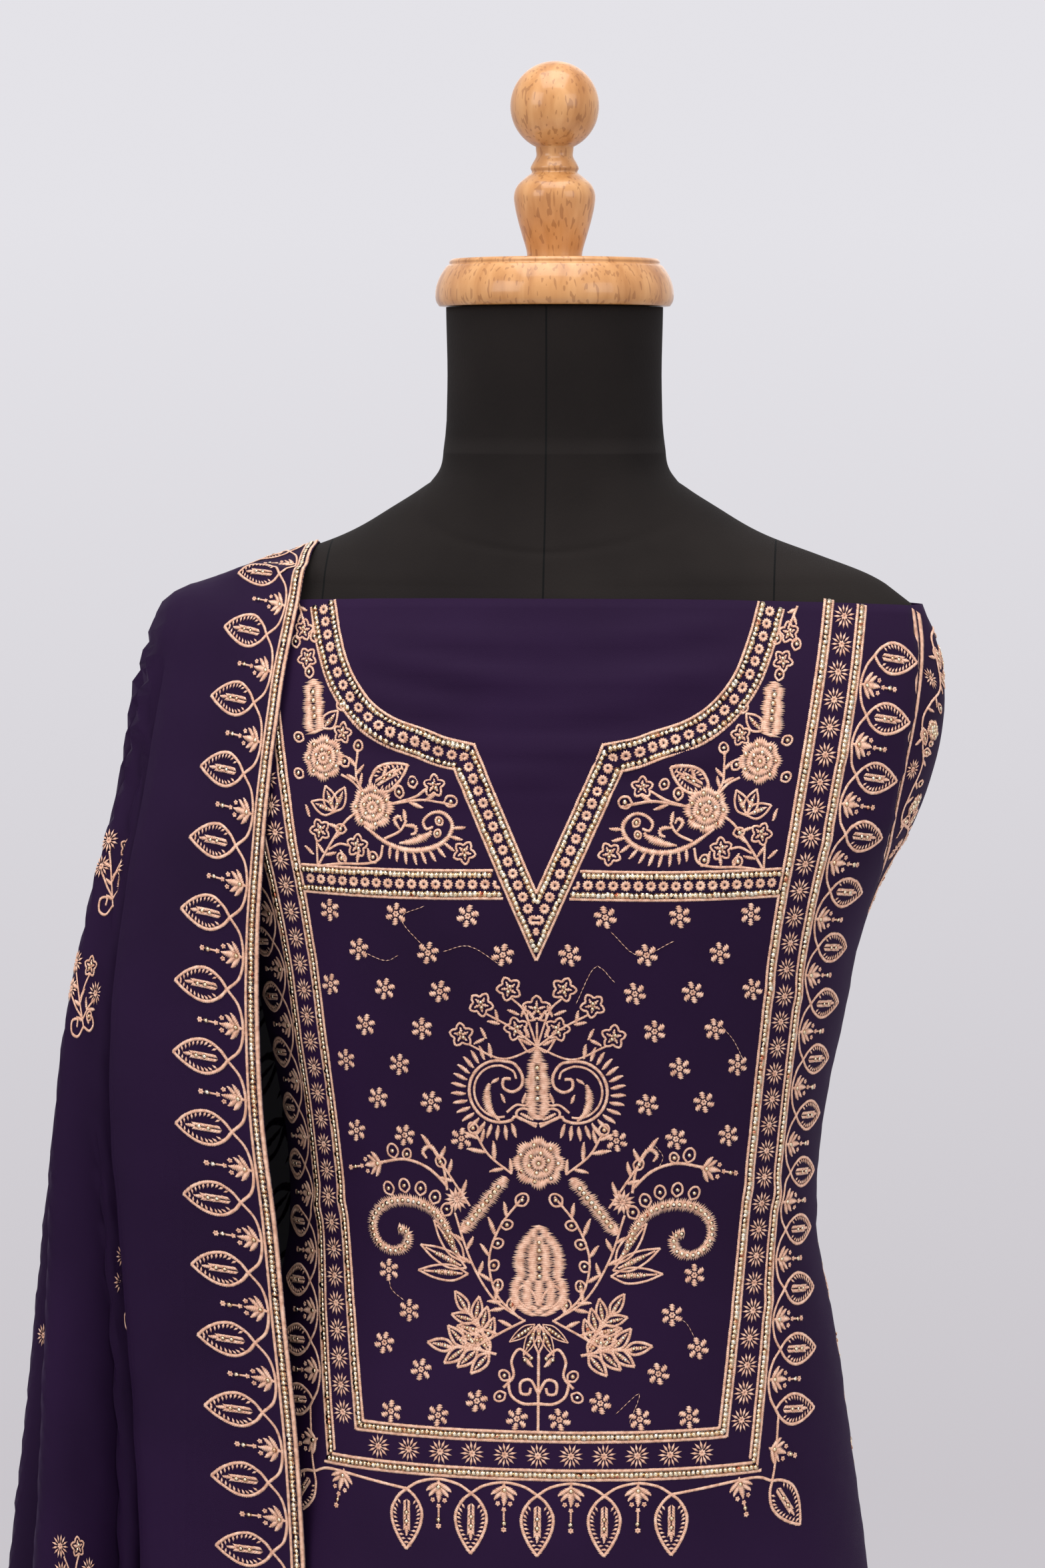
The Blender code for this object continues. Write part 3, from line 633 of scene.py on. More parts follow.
SOFT_LUSTRE = {
    "Specular_IOR_Level": 0.09,
    "Sheen_Weight": 0.03,
    "Sheen_Roughness": 0.4,
    "Sheen_Tint": (0.42, 0.22, 0.65, 1),
}
georgette = dyed_cloth(
    "purple_georgette", (0.0108, 0.0029, 0.0175), (0.0175, 0.0049, 0.0290),
    **SOFT_LUSTRE,
)
kameez_front_cloth = new_piece(
    "kameez_front_cloth", grid_mesh("kameez_front_cloth", front_points[::-1]), georgette
)
give_wall(kameez_front_cloth, CLOTH_THICKNESS)
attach(kameez_front_cloth, "root")
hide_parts("kameez_front")


def back_creases(v, z):
    out = 0.00025 * (1 + waves(v, z, 25, 7, 0.070, 0.016))
    waist = np.exp(-(((z - 1.045 - 0.2 * np.abs(v)) / 0.008) ** 2)) * 0.0010
    waist = waist + np.exp(-(((z - 1.018 + 0.1 * v) / 0.006) ** 2)) * 0.0008
    return out + waist + skirt_creases(v, z, 28, 0.12, 0.035)


def back_row(v, height):
    """Points of the back at lengths from the middle back; + is the viewer's right in front."""
    whole = kameez_section(height, PANEL_STEP)[2][-1]
    lengths = np.where(v < 0, -(whole + v), whole - v)
    return kameez_row(lengths, height, PANEL_STEP)


# the back's flat size across is measured from the middle back, the wearer's left side +
grid_v, grid_z = np.meshgrid(map_across, map_up)
back_base = np.array([back_row(map_across, z)[::-1] for z in map_up])
back_base = back_base + outward(back_base) * back_creases(-grid_v, grid_z)[..., None]
back_at_turned = cloth_map(map_across, map_up, back_base)


def back_at(v, z, lift=0.0):
    return back_at_turned(-np.asarray(v), z, lift)


def back_half(height):
    """The back panel's half width at a height, to just under the front's edge."""
    whole = kameez_section(height, PANEL_STEP)[2][-1]
    return whole - (front_edge_length(height, PANEL_STEP) - BACK_TUCK)


back_columns, back_rows = 81, 160
shares = np.linspace(-1, 1, back_columns)
back_points = []
for height in panel_heights(back_rows):
    low = height - top_dip(height, 1)
    back_points.append(back_at(-shares * back_half(low), np.full(back_columns, low)))
kameez_back_cloth = new_piece(
    "kameez_back_cloth", grid_mesh("kameez_back_cloth", np.array(back_points)[::-1]), georgette
)
give_wall(kameez_back_cloth, CLOTH_THICKNESS)
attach(kameez_back_cloth, "root")
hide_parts("kameez_back")

# Embroidery on the kameez's front
# All of it is sewn by machine through the one layer of cloth: satin stitches of peach rayon
# thread, each a thin raised lozenge here, and round champagne sequins. It is laid out flat, in
# millimetres: x from the middle, y the height from the floor.
THREAD, SEQUIN = 0.0, 1.0
STITCH_PITCH = 1.0
STITCH_FULLNESS = 1.95
STITCH_RISE = 0.0009
SEQUIN_RISE = 0.0005
THREAD_LIFT = 0.0008
SEQUIN_LIFT = 0.0013
CORD_LEAN = 0.95
SEQUIN_SIZE = 3.3
SEQUIN_PITCH = 2.5
EYELET_PITCH = 6.4
THREAD_SIDES, SEQUIN_SIDES = 4, 7


def sewn(x, y, turn, length, width, kind=THREAD):
    """Rows of place, direction, length, width and kind, one for each stitch or sequin."""
    parts = np.broadcast_arrays(*(np.asarray(v, float) for v in (x, y, turn, length, width, kind)))
    return np.stack([part.ravel() for part in parts], -1)


def join(*works):
    return np.vstack(works)


def fine_line(points, smooth):
    return smooth_run(points, 10) if smooth and len(points) > 2 else np.array(points, float)


def run(points, pitch, smooth=True):
    """Even steps along a line through points: x, y, direction and share of the way."""
    line = fine_line(points, smooth)
    steps = np.diff(line, axis=0)
    lengths = lengths_so_far(*line.T)
    count = max(int(round(lengths[-1] / pitch)), 1)
    at = (np.arange(count) + 0.5) * lengths[-1] / count
    k = np.clip(np.searchsorted(lengths, at) - 1, 0, len(steps) - 1)
    x, y = np.interp(at, lengths, line[:, 0]), np.interp(at, lengths, line[:, 1])
    return x, y, np.arctan2(steps[k, 1], steps[k, 0]), at / lengths[-1]


def line_length(points, smooth=True):
    return float(np.hypot(*np.diff(fine_line(points, smooth), axis=0).T).sum())


def satin(points, widths, lean=1.25, smooth=True, pitch=STITCH_PITCH):
    """Stitches side by side across a line; the widths run from its start to its end."""
    x, y, turn, share = run(points, pitch, smooth)
    wide = np.interp(share, np.linspace(0, 1, len(widths)), widths)
    return sewn(x, y, turn + lean, wide / math.sin(lean), STITCH_FULLNESS * pitch)


def cord(points, width=2.1, smooth=True):
    return satin(points, [width, width], CORD_LEAN, smooth)


def sequins(points, smooth=True, pitch=SEQUIN_PITCH, size=SEQUIN_SIZE):
    x, y, turn, _ = run(points, pitch, smooth)
    return sewn(x, y, turn, size, size, SEQUIN)


def place(work, x=0.0, y=0.0, turn=0.0, size=1.0, flip=False):
    """A copy of some work, flipped left to right if asked, then scaled, turned and moved."""
    moved = np.array(work)
    if flip:
        moved[:, 0] *= -1
        moved[:, 2] = math.pi - moved[:, 2]
    c, s = math.cos(turn) * size, math.sin(turn) * size
    old_x, old_y = moved[:, 0].copy(), moved[:, 1].copy()
    moved[:, 0], moved[:, 1] = x + c * old_x - s * old_y, y + s * old_x + c * old_y
    moved[:, 2] += turn
    moved[:, 3:5] *= np.where(moved[:, 5:] == THREAD, size, 1)
    return moved


def scattered(work, places):
    """Copies of some work, each at its x, y and turn."""
    return join(*(place(work, x, y, turn) for x, y, turn in places))


def mirrored(work):
    """A copy turned over the line y = 0."""
    turned = work.copy()
    turned[:, 1:3] *= -1
    return turned


def both_sides(work):
    return join(work, place(work, flip=True))


def around(work, count, start=0.0):
    return join(*(place(work, turn=start + k * 2 * math.pi / count) for k in range(count)))


def rays(count, inner, outer, width=1.6, start=0.0):
    """Stitches out from a middle; inner and outer are numbers, or functions of the angle."""
    angles = start + np.arange(count) * 2 * math.pi / count
    near = inner(angles) if callable(inner) else inner
    far = outer(angles) if callable(outer) else outer
    middle = (near + far) / 2
    return sewn(middle * np.cos(angles), middle * np.sin(angles), angles, far - near, width)


def left_of(work, start, end):
    """Keeps the work that lies to the left of a line, seen from its start to its end."""
    along = (end[0] - start[0]) * (work[:, 1] - start[1])
    return work[along - (end[1] - start[1]) * (work[:, 0] - start[0]) > 0]


def follow(points, work, smooth=True):
    """Lays straight work along a line: its x runs along the line and its y to the left."""
    line = fine_line(points, smooth)
    steps = np.diff(line, axis=0)
    lengths = lengths_so_far(*line.T)
    k = np.clip(np.searchsorted(lengths, work[:, 0]) - 1, 0, len(steps) - 1)
    turn = np.arctan2(steps[k, 1], steps[k, 0])
    past = work[:, 0] - np.clip(work[:, 0], 0, lengths[-1])
    moved = np.array(work)
    x = np.interp(work[:, 0], lengths, line[:, 0]) + past * np.cos(turn)
    y = np.interp(work[:, 0], lengths, line[:, 1]) + past * np.sin(turn)
    moved[:, 0], moved[:, 1] = x - np.sin(turn) * work[:, 1], y + np.cos(turn) * work[:, 1]
    moved[:, 2] += turn
    return moved


def sequin_band(length, y=0.0):
    """Two cords with a chain of sequins between them, 6.5 wide."""
    lines = [cord([(0, y + off), (length, y + off)], 2.0, False) for off in (-2.3, 2.3)]
    return join(*lines, sequins([(0, y), (length, y)], False))


def eyelet():
    """A ring of slanted stitches, 5.7 across."""
    return place(rays(12, 0.45, 2.95, 1.9), turn=0.2)


def eyelet_band(length):
    """A row of eyelets between two chains of sequins, with cords beside them, 16 wide."""
    cords = [cord([(0, y), (length, y)], 1.7, False) for y in (1.0, 15.0)]
    chains = [sequins([(0, y), (length, y)], False) for y in (3.2, 12.8)]
    places = np.arange(EYELET_PITCH / 2, length, EYELET_PITCH)
    return join(*cords, *chains, *(place(eyelet(), x, 8.0) for x in places))


def leaf(length, width, lean=1.1):
    """A small plain satin leaf that points along x."""
    return satin([(0, 0), (length, 0)], [0.8, width * 0.85, width, width * 0.75, 0.7], lean)


def outlined_leaf(length, width):
    """A leaf with a thin outline, a satin heart and sequins."""
    side = [(0, 0), (length * 0.30, width * 0.46), (length * 0.66, width * 0.38), (length, 0)]
    other = [(x, -y) for x, y in side]
    heart = satin([(length * 0.12, 0), (length * 0.80, 0)], [0.8, width * 0.42, width * 0.36, 0.6])
    shine = sequins([(length * 0.2, 0), (length * 0.7, 0)], False, 3.4, 2.2)
    return join(cord(side, 1.3), cord(other, 1.3), heart, shine)


def drop(size=6.5):
    """A sequin in a small corded drop."""
    ring = [(0, 0), (size * 0.35, size * 0.36), (size * 0.8, size * 0.30), (size, 0)]
    ring += [(x, -y) for x, y in ring[-2:0:-1]] + [(0, 0)]
    return join(cord(ring, 1.2), sewn(size * 0.55, 0, 0, 2.4, 2.4, SEQUIN))


def star():
    return join(rays(13, 1.6, 6.5, 1.30), rays(7, 0.0, 2.3, 1.5, 0.2))


def floret():
    petal = satin([(2.3, 0), (5.6, 0)], [2.4, 3.8, 3.0])
    return join(around(petal, 6, math.pi / 6), rays(6, 0.2, 1.9, 1.6))


def small_flower(size=5.6, petals=5):
    """A toothed thin outline round a few satin petals, with sequins."""
    ring = []
    for k in range(4 * petals + 1):
        reach = size * (1.0, 0.84, 0.66, 0.84)[k % 4]
        angle = k * math.pi / (2 * petals)
        ring.append((reach * math.cos(angle), reach * math.sin(angle)))
    petal = satin([(0.5, 0), (size * 0.62, 0)], [1.0, 2.0, 0.8])
    shine = sewn([1.0, -1.2], [0.9, -0.8], 0, 2.2, 2.2, SEQUIN)
    return join(cord(ring, 1.2), around(petal, petals), shine)


def round_flower(size, petals=8):
    """A full flower with lobed petals in three rounds and sequins in the middle."""

    def lobes(angle):
        return size * (0.80 + 0.20 * np.abs(np.cos(angle * petals / 2)) ** 0.7)

    rings = [(0.0, 0.0, 1), (size * 0.36, 0.3, 6), (size * 0.68, 0.0, 7)]
    spots = [(reach, start + k * 2 * math.pi / n) for reach, start, n in rings for k in range(n)]
    chain = [sewn(r * math.cos(a), r * math.sin(a), 0, 2.6, 2.6, SEQUIN) for r, a in spots]
    return join(
        rays(int(size * 4.4), size * 0.56, lobes, 2.0),
        rays(int(size * 2.8), size * 0.26, size * 0.66, 2.0, 0.05),
        rays(int(size * 1.2), 0.4, size * 0.34, 1.8),
        *chain,
    )


def fill(heights, half_widths, stitch=6.0, lean=0.06):
    """Brick-laid stitches across a shape; the half widths run from its bottom to its top."""
    low, high = heights
    parts = []
    levels = np.arange(low, high, STITCH_PITCH)
    halves = np.interp(levels, np.linspace(low, high, len(half_widths)), half_widths)
    for n, (y, half) in enumerate(zip(levels, halves)):
        count = max(int(round(2 * half / stitch)), 1)
        length = 2 * half / count
        x = -half + length * (np.arange(count) + 0.5)
        slant = lean * np.where(x > 0, 1, -1) * (1 if n % 2 else 2)
        parts.append(sewn(x, y, slant, length * 1.25, STITCH_FULLNESS))
    return join(*parts)


def teeth(points, length, side, pitch=3.5, width=2.3):
    """Leaf-like stitches that stand out from one side of a line: 1 is left, -1 right."""
    x, y, turn, _ = run(points, pitch)
    out = turn + side * (math.pi / 2 - 0.3)
    reach = 1.2 + length / 2
    tooth = [
        place(leaf(length, width), a + 1.0 * math.cos(o), b + 1.0 * math.sin(o), o)
        for a, b, o in zip(x, y, out)
    ]
    return join(*tooth)


def sprig(points, twig, pitch=6.0, spread=0.75, stem=1.5):
    """A corded stem with twigs on its two sides by turns and one at its tip."""
    x, y, turn, _ = run(points, pitch)
    parts = [cord(points, stem)]
    for n, (a, b, t) in enumerate(zip(x, y, turn)):
        parts.append(place(twig, a, b, t + (spread if n % 2 else -spread)))
    end_turn = turn[-1]
    parts.append(place(twig, points[-1][0], points[-1][1], end_turn))
    return join(*parts)


def border_leaf(length=31.0, width=16.5):
    """The border's big leaf: a corded edge, ladder stitches inside it, a fern with sequins."""
    side = [(0, 0), (4.0, 4.6), (10.5, 8.0), (17.5, 7.6), (25.0, 4.3), (31.0, 0)]
    side = [(x * length / 31.0, y * width / 16.5) for x, y in side]
    other = [(x, -y) for x, y in side]
    x, y, turn, _ = run(side[1:], 2.6)
    rung_turn = turn - math.pi / 2 + 0.45
    rungs = sewn(x + 2.0 * np.cos(rung_turn), y + 2.0 * np.sin(rung_turn), rung_turn, 3.4, 1.3)
    t = np.arange(length * 0.22, length * 0.68, 1.5)
    fern = [sewn(t, off, angle, 3.6, 1.6) for off, angle in ((1.1, 0.55), (-1.1, -0.55))]
    shine = sequins([(length * 0.32, 0), (length * 0.62, 0)], False, 4.2, 2.6)
    tip = leaf(5.0, 2.4)
    return join(
        cord(side, 1.9), cord(other, 1.9), rungs, mirrored(rungs), *fern, place(tip, length * 0.62), shine
    )


def border_bell(length=26.0):
    """A small bell of leaves with a pendant: a thread, a sequin and a knot."""
    wings = join(place(leaf(8.0, 3.4), 1.5, 0, 1.0), place(leaf(5.5, 2.8), 4.5, 1.4, 0.75))
    middle = leaf(11.5, 4.8)
    knots = [place(rays(5, 0, 1.5, 1.4), x, y) for x, y in ((10.5, 3.2), (10.5, -3.2), (13.5, 0))]
    thread = cord([(13, 0), (length - 6, 0)], 1.0, False)
    shine = sewn([length - 5.5, 3.5], 0, 0, 2.8, 2.8, SEQUIN)
    end_knot = place(rays(6, 0, 1.7, 1.5), length - 2.2)
    return join(wings, mirrored(wings), middle, *knots, thread, shine, end_knot)


def scallops(places, y, big_leaf, bell, base=7.0):
    """Arched vines from leaf to leaf along a band at y, a bell hung in each arch."""
    parts = [place(big_leaf, x, y + base, math.pi / 2) for x in places]
    for a, b in zip(places, places[1:]):
        middle = (a + b) / 2
        arch = [(a, y + base), (a + 0.2 * (b - a), y + 2.8), (middle, y + 0.8)]
        arch += [(b - 0.2 * (b - a), y + 2.8), (b, y + base)]
        parts += [cord(arch, 1.7), place(bell, middle, y + 1.2, math.pi / 2)]
    return join(*parts)


def sewing_tree():
    """Sets an even-sided bead on each point, stretched and turned by the point's attributes."""
    tree = bpy.data.node_groups.new("sewn_work", "GeometryNodeTree")
    face = tree.interface
    face.new_socket("Points", in_out="INPUT", socket_type="NodeSocketGeometry")
    face.new_socket("Sides", in_out="INPUT", socket_type="NodeSocketInt")
    face.new_socket("Finish", in_out="INPUT", socket_type="NodeSocketMaterial")
    face.new_socket("Work", in_out="OUTPUT", socket_type="NodeSocketGeometry")
    start, end = tree.nodes.new("NodeGroupInput"), tree.nodes.new("NodeGroupOutput")
    bead = tree.nodes.new("GeometryNodeMeshUVSphere")
    bead.inputs["Rings"].default_value = 2
    bead.inputs["Radius"].default_value = 0.5
    size = tree.nodes.new("GeometryNodeInputNamedAttribute")
    turn = tree.nodes.new("GeometryNodeInputNamedAttribute")
    for node, name in ((size, "size"), (turn, "turn")):
        node.data_type = "FLOAT_VECTOR"
        node.inputs["Name"].default_value = name
    rotation = tree.nodes.new("FunctionNodeEulerToRotation")
    seat = tree.nodes.new("GeometryNodeInstanceOnPoints")
    real = tree.nodes.new("GeometryNodeRealizeInstances")
    paint = tree.nodes.new("GeometryNodeSetMaterial")
    link = tree.links.new
    link(start.outputs["Sides"], bead.inputs["Segments"])
    link(start.outputs["Points"], seat.inputs["Points"])
    link(bead.outputs["Mesh"], seat.inputs["Instance"])
    link(turn.outputs["Attribute"], rotation.inputs["Euler"])
    link(rotation.outputs["Rotation"], seat.inputs["Rotation"])
    link(size.outputs["Attribute"], seat.inputs["Scale"])
    link(seat.outputs["Instances"], real.inputs["Geometry"])
    link(real.outputs["Geometry"], paint.inputs["Geometry"])
    link(start.outputs["Finish"], paint.inputs["Material"])
    link(paint.outputs["Geometry"], end.inputs["Work"])
    return tree


sewn_work = sewing_tree()
socket_name = {s.name: s.identifier for s in sewn_work.interface.items_tree if s.in_out == "INPUT"}


def sew(name, work, cloth_at, finish, sides, seed):
    """Sews the stitches or the sequins of some work on a cloth as one piece, and hangs it on the root body.
    """
    draw = np.random.default_rng(seed)
    kind = SEQUIN if sides == SEQUIN_SIDES else THREAD
    work = work[work[:, 5] == kind]
    count = len(work)
    places = np.zeros((count, 3))
    places[:, :2] = work[:, :2] / 1000
    size = np.column_stack([work[:, 3:5] / 1000, np.zeros(count)])
    turn = np.column_stack([np.zeros((count, 2)), work[:, 2]])
    if kind == SEQUIN:
        places[:, 2] = SEQUIN_LIFT
        size[:, 2] = SEQUIN_RISE
        turn[:, :2] = draw.normal(0, 0.13, (count, 2))
    else:
        places[:, 2] = THREAD_LIFT
        size[:, 2] = STITCH_RISE
        size[:, :2] *= draw.uniform(0.92, 1.08, (count, 1))
        turn[:, 2] += draw.normal(0, 0.05, count)
    mesh = bpy.data.meshes.new(name)
    mesh.from_pydata(places.tolist(), [], [])
    for label, values in (("size", size), ("turn", turn)):
        mesh.attributes.new(label, "FLOAT_VECTOR", "POINT").data.foreach_set("vector", values.ravel())
    points = bpy.data.objects.new(name + "_points", mesh)
    bpy.context.scene.collection.objects.link(points)
    maker = points.modifiers.new("sewing", "NODES")
    maker.node_group = sewn_work
    maker[socket_name["Sides"]] = sides
    maker[socket_name["Finish"]] = finish.material
    graph = bpy.context.evaluated_depsgraph_get()
    flat = bpy.data.meshes.new_from_object(points.evaluated_get(graph))
    bpy.data.objects.remove(points)
    places = np.zeros(len(flat.vertices) * 3, np.float32)
    flat.vertices.foreach_get("co", places)
    places = places.reshape(-1, 3).astype(float)
    laid = cloth_at(places[:, 0], places[:, 1], places[:, 2])
    flat.vertices.foreach_set("co", laid.astype(np.float32).ravel())
    for label in [a.name for a in flat.attributes if a.name in ("size", "turn", "UVMap")]:
        flat.attributes.remove(flat.attributes[label])
    flat.shade_smooth()
    flat.update()
    piece = new_piece(name, flat, finish)
    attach(piece, "root")
    return piece


peach_thread = Finish(
    "peach_rayon_thread", (0.723, 0.423, 0.287), 0.42, Sheen_Weight=0.15, Specular_IOR_Level=0.6
)
peach_tone = peach_thread.pattern("Noise", Scale=420.0, Detail=2.0)
peach_thread.shades(
    peach_tone, (0.30, (0.56, 0.285, 0.180)), (0.52, (0.75, 0.440, 0.300)), (0.74, (0.86, 0.580, 0.430))
)
peach_thread.relief(peach_thread.pattern("Noise", Scale=3800.0, Detail=1.0), 0.0002, 0.5)
champagne = Finish("champagne_sequins", (0.90, 0.74, 0.52), 0.16, Metallic=1.0)
champagne_tone = champagne.pattern("Noise", Scale=260.0, Detail=1.0)
champagne.shades(
    champagne_tone,
    (0.24, (0.62, 0.20, 0.12)),
    (0.34, (0.80, 0.60, 0.38)),
    (0.55, (0.92, 0.78, 0.56)),
    (0.75, (0.98, 0.92, 0.78)),
)

NECK_ARC = [
    (112, 1373), (106, 1354), (98.5, 1336.5), (87.5, 1323), (74.6, 1314.5), (58, 1309),
    (47, 1305), (32, 1302),
]
NECK_CORNER, NECK_OUTER_CORNER = (32, 1302), (42, 1290)
NECK_POINT = [(32, 1302), (-18, 1189.5)]
YOKE_SIDE = [(152, 1373), (130, 1235), (114, 1085), (97, 943)]
YOKE_CORNER, YOKE_OUTER_CORNER = (97, 943), (116.5, 923.5)
STRIP_WIDTH = 19.5
BAND_EDGE = 23.0
SIDE_LEAF_PITCH, BOTTOM_LEAF_PITCH = 30.6, 34.6

neck = left_of(
    follow(NECK_ARC, eyelet_band(line_length(NECK_ARC))), NECK_CORNER, NECK_OUTER_CORNER
)
point = follow(NECK_POINT, eyelet_band(line_length(NECK_POINT)))
point = left_of(point, NECK_OUTER_CORNER, NECK_CORNER)
point = left_of(point, (0, 1400), (0, 1100))
bar_line = [(10, 1224), (70, 1223), (127, 1223.5)]
bar = left_of(follow(bar_line, eyelet_band(line_length(bar_line))), (43, 1290), (1.5, 1186))
neck_work = both_sides(join(neck, point, bar))

side_length = line_length(YOKE_SIDE)
side_leaves = np.arange(side_length - 12.0, 8.0, -SIDE_LEAF_PITCH)
side_stars = np.arange(side_length - 6.5, 4.0, -14.0)
side_strip = join(
    sequin_band(side_length + 25),
    sequin_band(side_length + 25, STRIP_WIDTH),
    *(place(star(), x, STRIP_WIDTH / 2) for x in side_stars),
)
side_strip = left_of(follow(YOKE_SIDE, side_strip), YOKE_CORNER, YOKE_OUTER_CORNER)
side_border = follow(
    YOKE_SIDE, scallops(side_leaves, BAND_EDGE, border_leaf(28.5, 15.5), border_bell(23.0))
)
foot_line = [YOKE_CORNER, (-YOKE_CORNER[0], YOKE_CORNER[1])]
foot_length = 2 * YOKE_CORNER[0]
foot_leaves = YOKE_CORNER[0] + BOTTOM_LEAF_PITCH * np.arange(-2, 3)
foot_stars = YOKE_CORNER[0] + 17.1 * np.arange(-6, 7)
foot_strip = join(
    place(join(sequin_band(foot_length + 50), sequin_band(foot_length + 50, STRIP_WIDTH)), -25),
    *(place(star(), x, STRIP_WIDTH / 2) for x in foot_stars if abs(x - YOKE_CORNER[0]) < 100),
)
foot_strip = follow(foot_line, foot_strip, False)
foot_strip = left_of(foot_strip, YOKE_OUTER_CORNER, YOKE_CORNER)
foot_strip = place(left_of(place(foot_strip, flip=True), YOKE_OUTER_CORNER, YOKE_CORNER), flip=True)
foot_border = follow(foot_line, scallops(foot_leaves, BAND_EDGE, border_leaf(), border_bell()), False)
corner_leaf = join(
    place(border_leaf(), 126, 915, -0.95),
    cord([(69.2, 913), (112, 918), (126, 915)], 1.7),
    cord([(126, 915), (128, 925), (130, 948)], 1.7),
    place(border_bell(22), 106, 919, -1.35),
    place(border_bell(20), 124, 932, -0.35),
)
frame_work = join(both_sides(join(side_strip, side_border, corner_leaf)), foot_strip, foot_border)

FLORET_ROWS = [
    (1215.5, (35, 73, 111)), (1196, (17, 56, 94.5)), (1176, (50, 80, 113)), (1156, (60, 92)),
    (1136, (73, 105)), (1117, (56, 86)), (1098, (40, 71, 100)), (1025, (81,)), (1005, (69,)),
    (987, (83,)), (975, (62,)), (960.5, (32,)), (952, (11, 52.5, 78.5)),
]
floret_work = both_sides(
    join(*(place(floret(), x, y, 0.1 * (x % 3)) for y, row in FLORET_ROWS for x in row))
)

# the middle motif, its right half; the middle pieces stand on the line x = 0
def curl():
    """A twin-lined spiral with leaf-like teeth outside it and a slanted satin bud inside."""
    turns = np.linspace(-2.2, 1.75, 20)
    ring = [(20.0 + 15.5 * math.cos(t), 1124.0 + 16.5 * math.sin(t)) for t in turns]
    spiral = [(12, 1139), (8, 1133), (8.5, 1127), (13, 1124), (17.5, 1126), (17.5, 1130.5), (14, 1131)]
    inner = [(20.0 + 12.9 * math.cos(t), 1124.0 + 13.8 * math.sin(t)) for t in turns[2:]]
    inner += [(12.5, 1135), (11, 1131)]
    tooth = [
        place(leaf(7.6, 2.9), 20.0 + 17.4 * math.cos(t), 1124.0 + 18.4 * math.sin(t), t + 0.10)
        for t in np.linspace(-1.95, 1.35, 17)
    ]
    return join(
        cord([(1.0, 1105.5)] + ring + spiral, 1.9),
        cord(inner, 1.3),
        *tooth,
        satin([(20, 1108.5), (25, 1114), (26.5, 1122), (25, 1128)], [1.5, 5.0, 5.4, 2.4], 1.2),
        cord([(3, 1121), (6, 1117), (11, 1117), (16, 1113)], 1.4),
        place(leaf(5.5, 2.4), 8, 1118, 1.9),
        place(leaf(5.0, 2.2), 17, 1118, 1.2),
        place(leaf(4.6, 2.2), 20, 1131, -0.6),
    )


horn_line = [
    (45, 1041), (50, 1052), (59, 1060.5), (71, 1063), (83, 1060), (90.5, 1051), (88.5, 1040.5),
    (80, 1035.5), (71.5, 1038), (70, 1045.5), (75.5, 1047.5),
]
TULIPS = ((14, 1178.5, 1.2), (28.5, 1170, 0.8), (10.5, 1157.5, 1.3), (39, 1153.5, 0.2))


def sprays(points, twigs):
    """A thin cord with named twigs set on it by their share of the way."""
    line = fine_line(points, True)
    parts = [cord(points, 1.4)]
    for share, side, twig in twigs:
        k = int(share * (len(line) - 2))
        turn = math.atan2(*(line[k + 1] - line[k])[::-1])
        parts.append(place(twig, line[k][0], line[k][1], turn + side))
    return join(*parts)


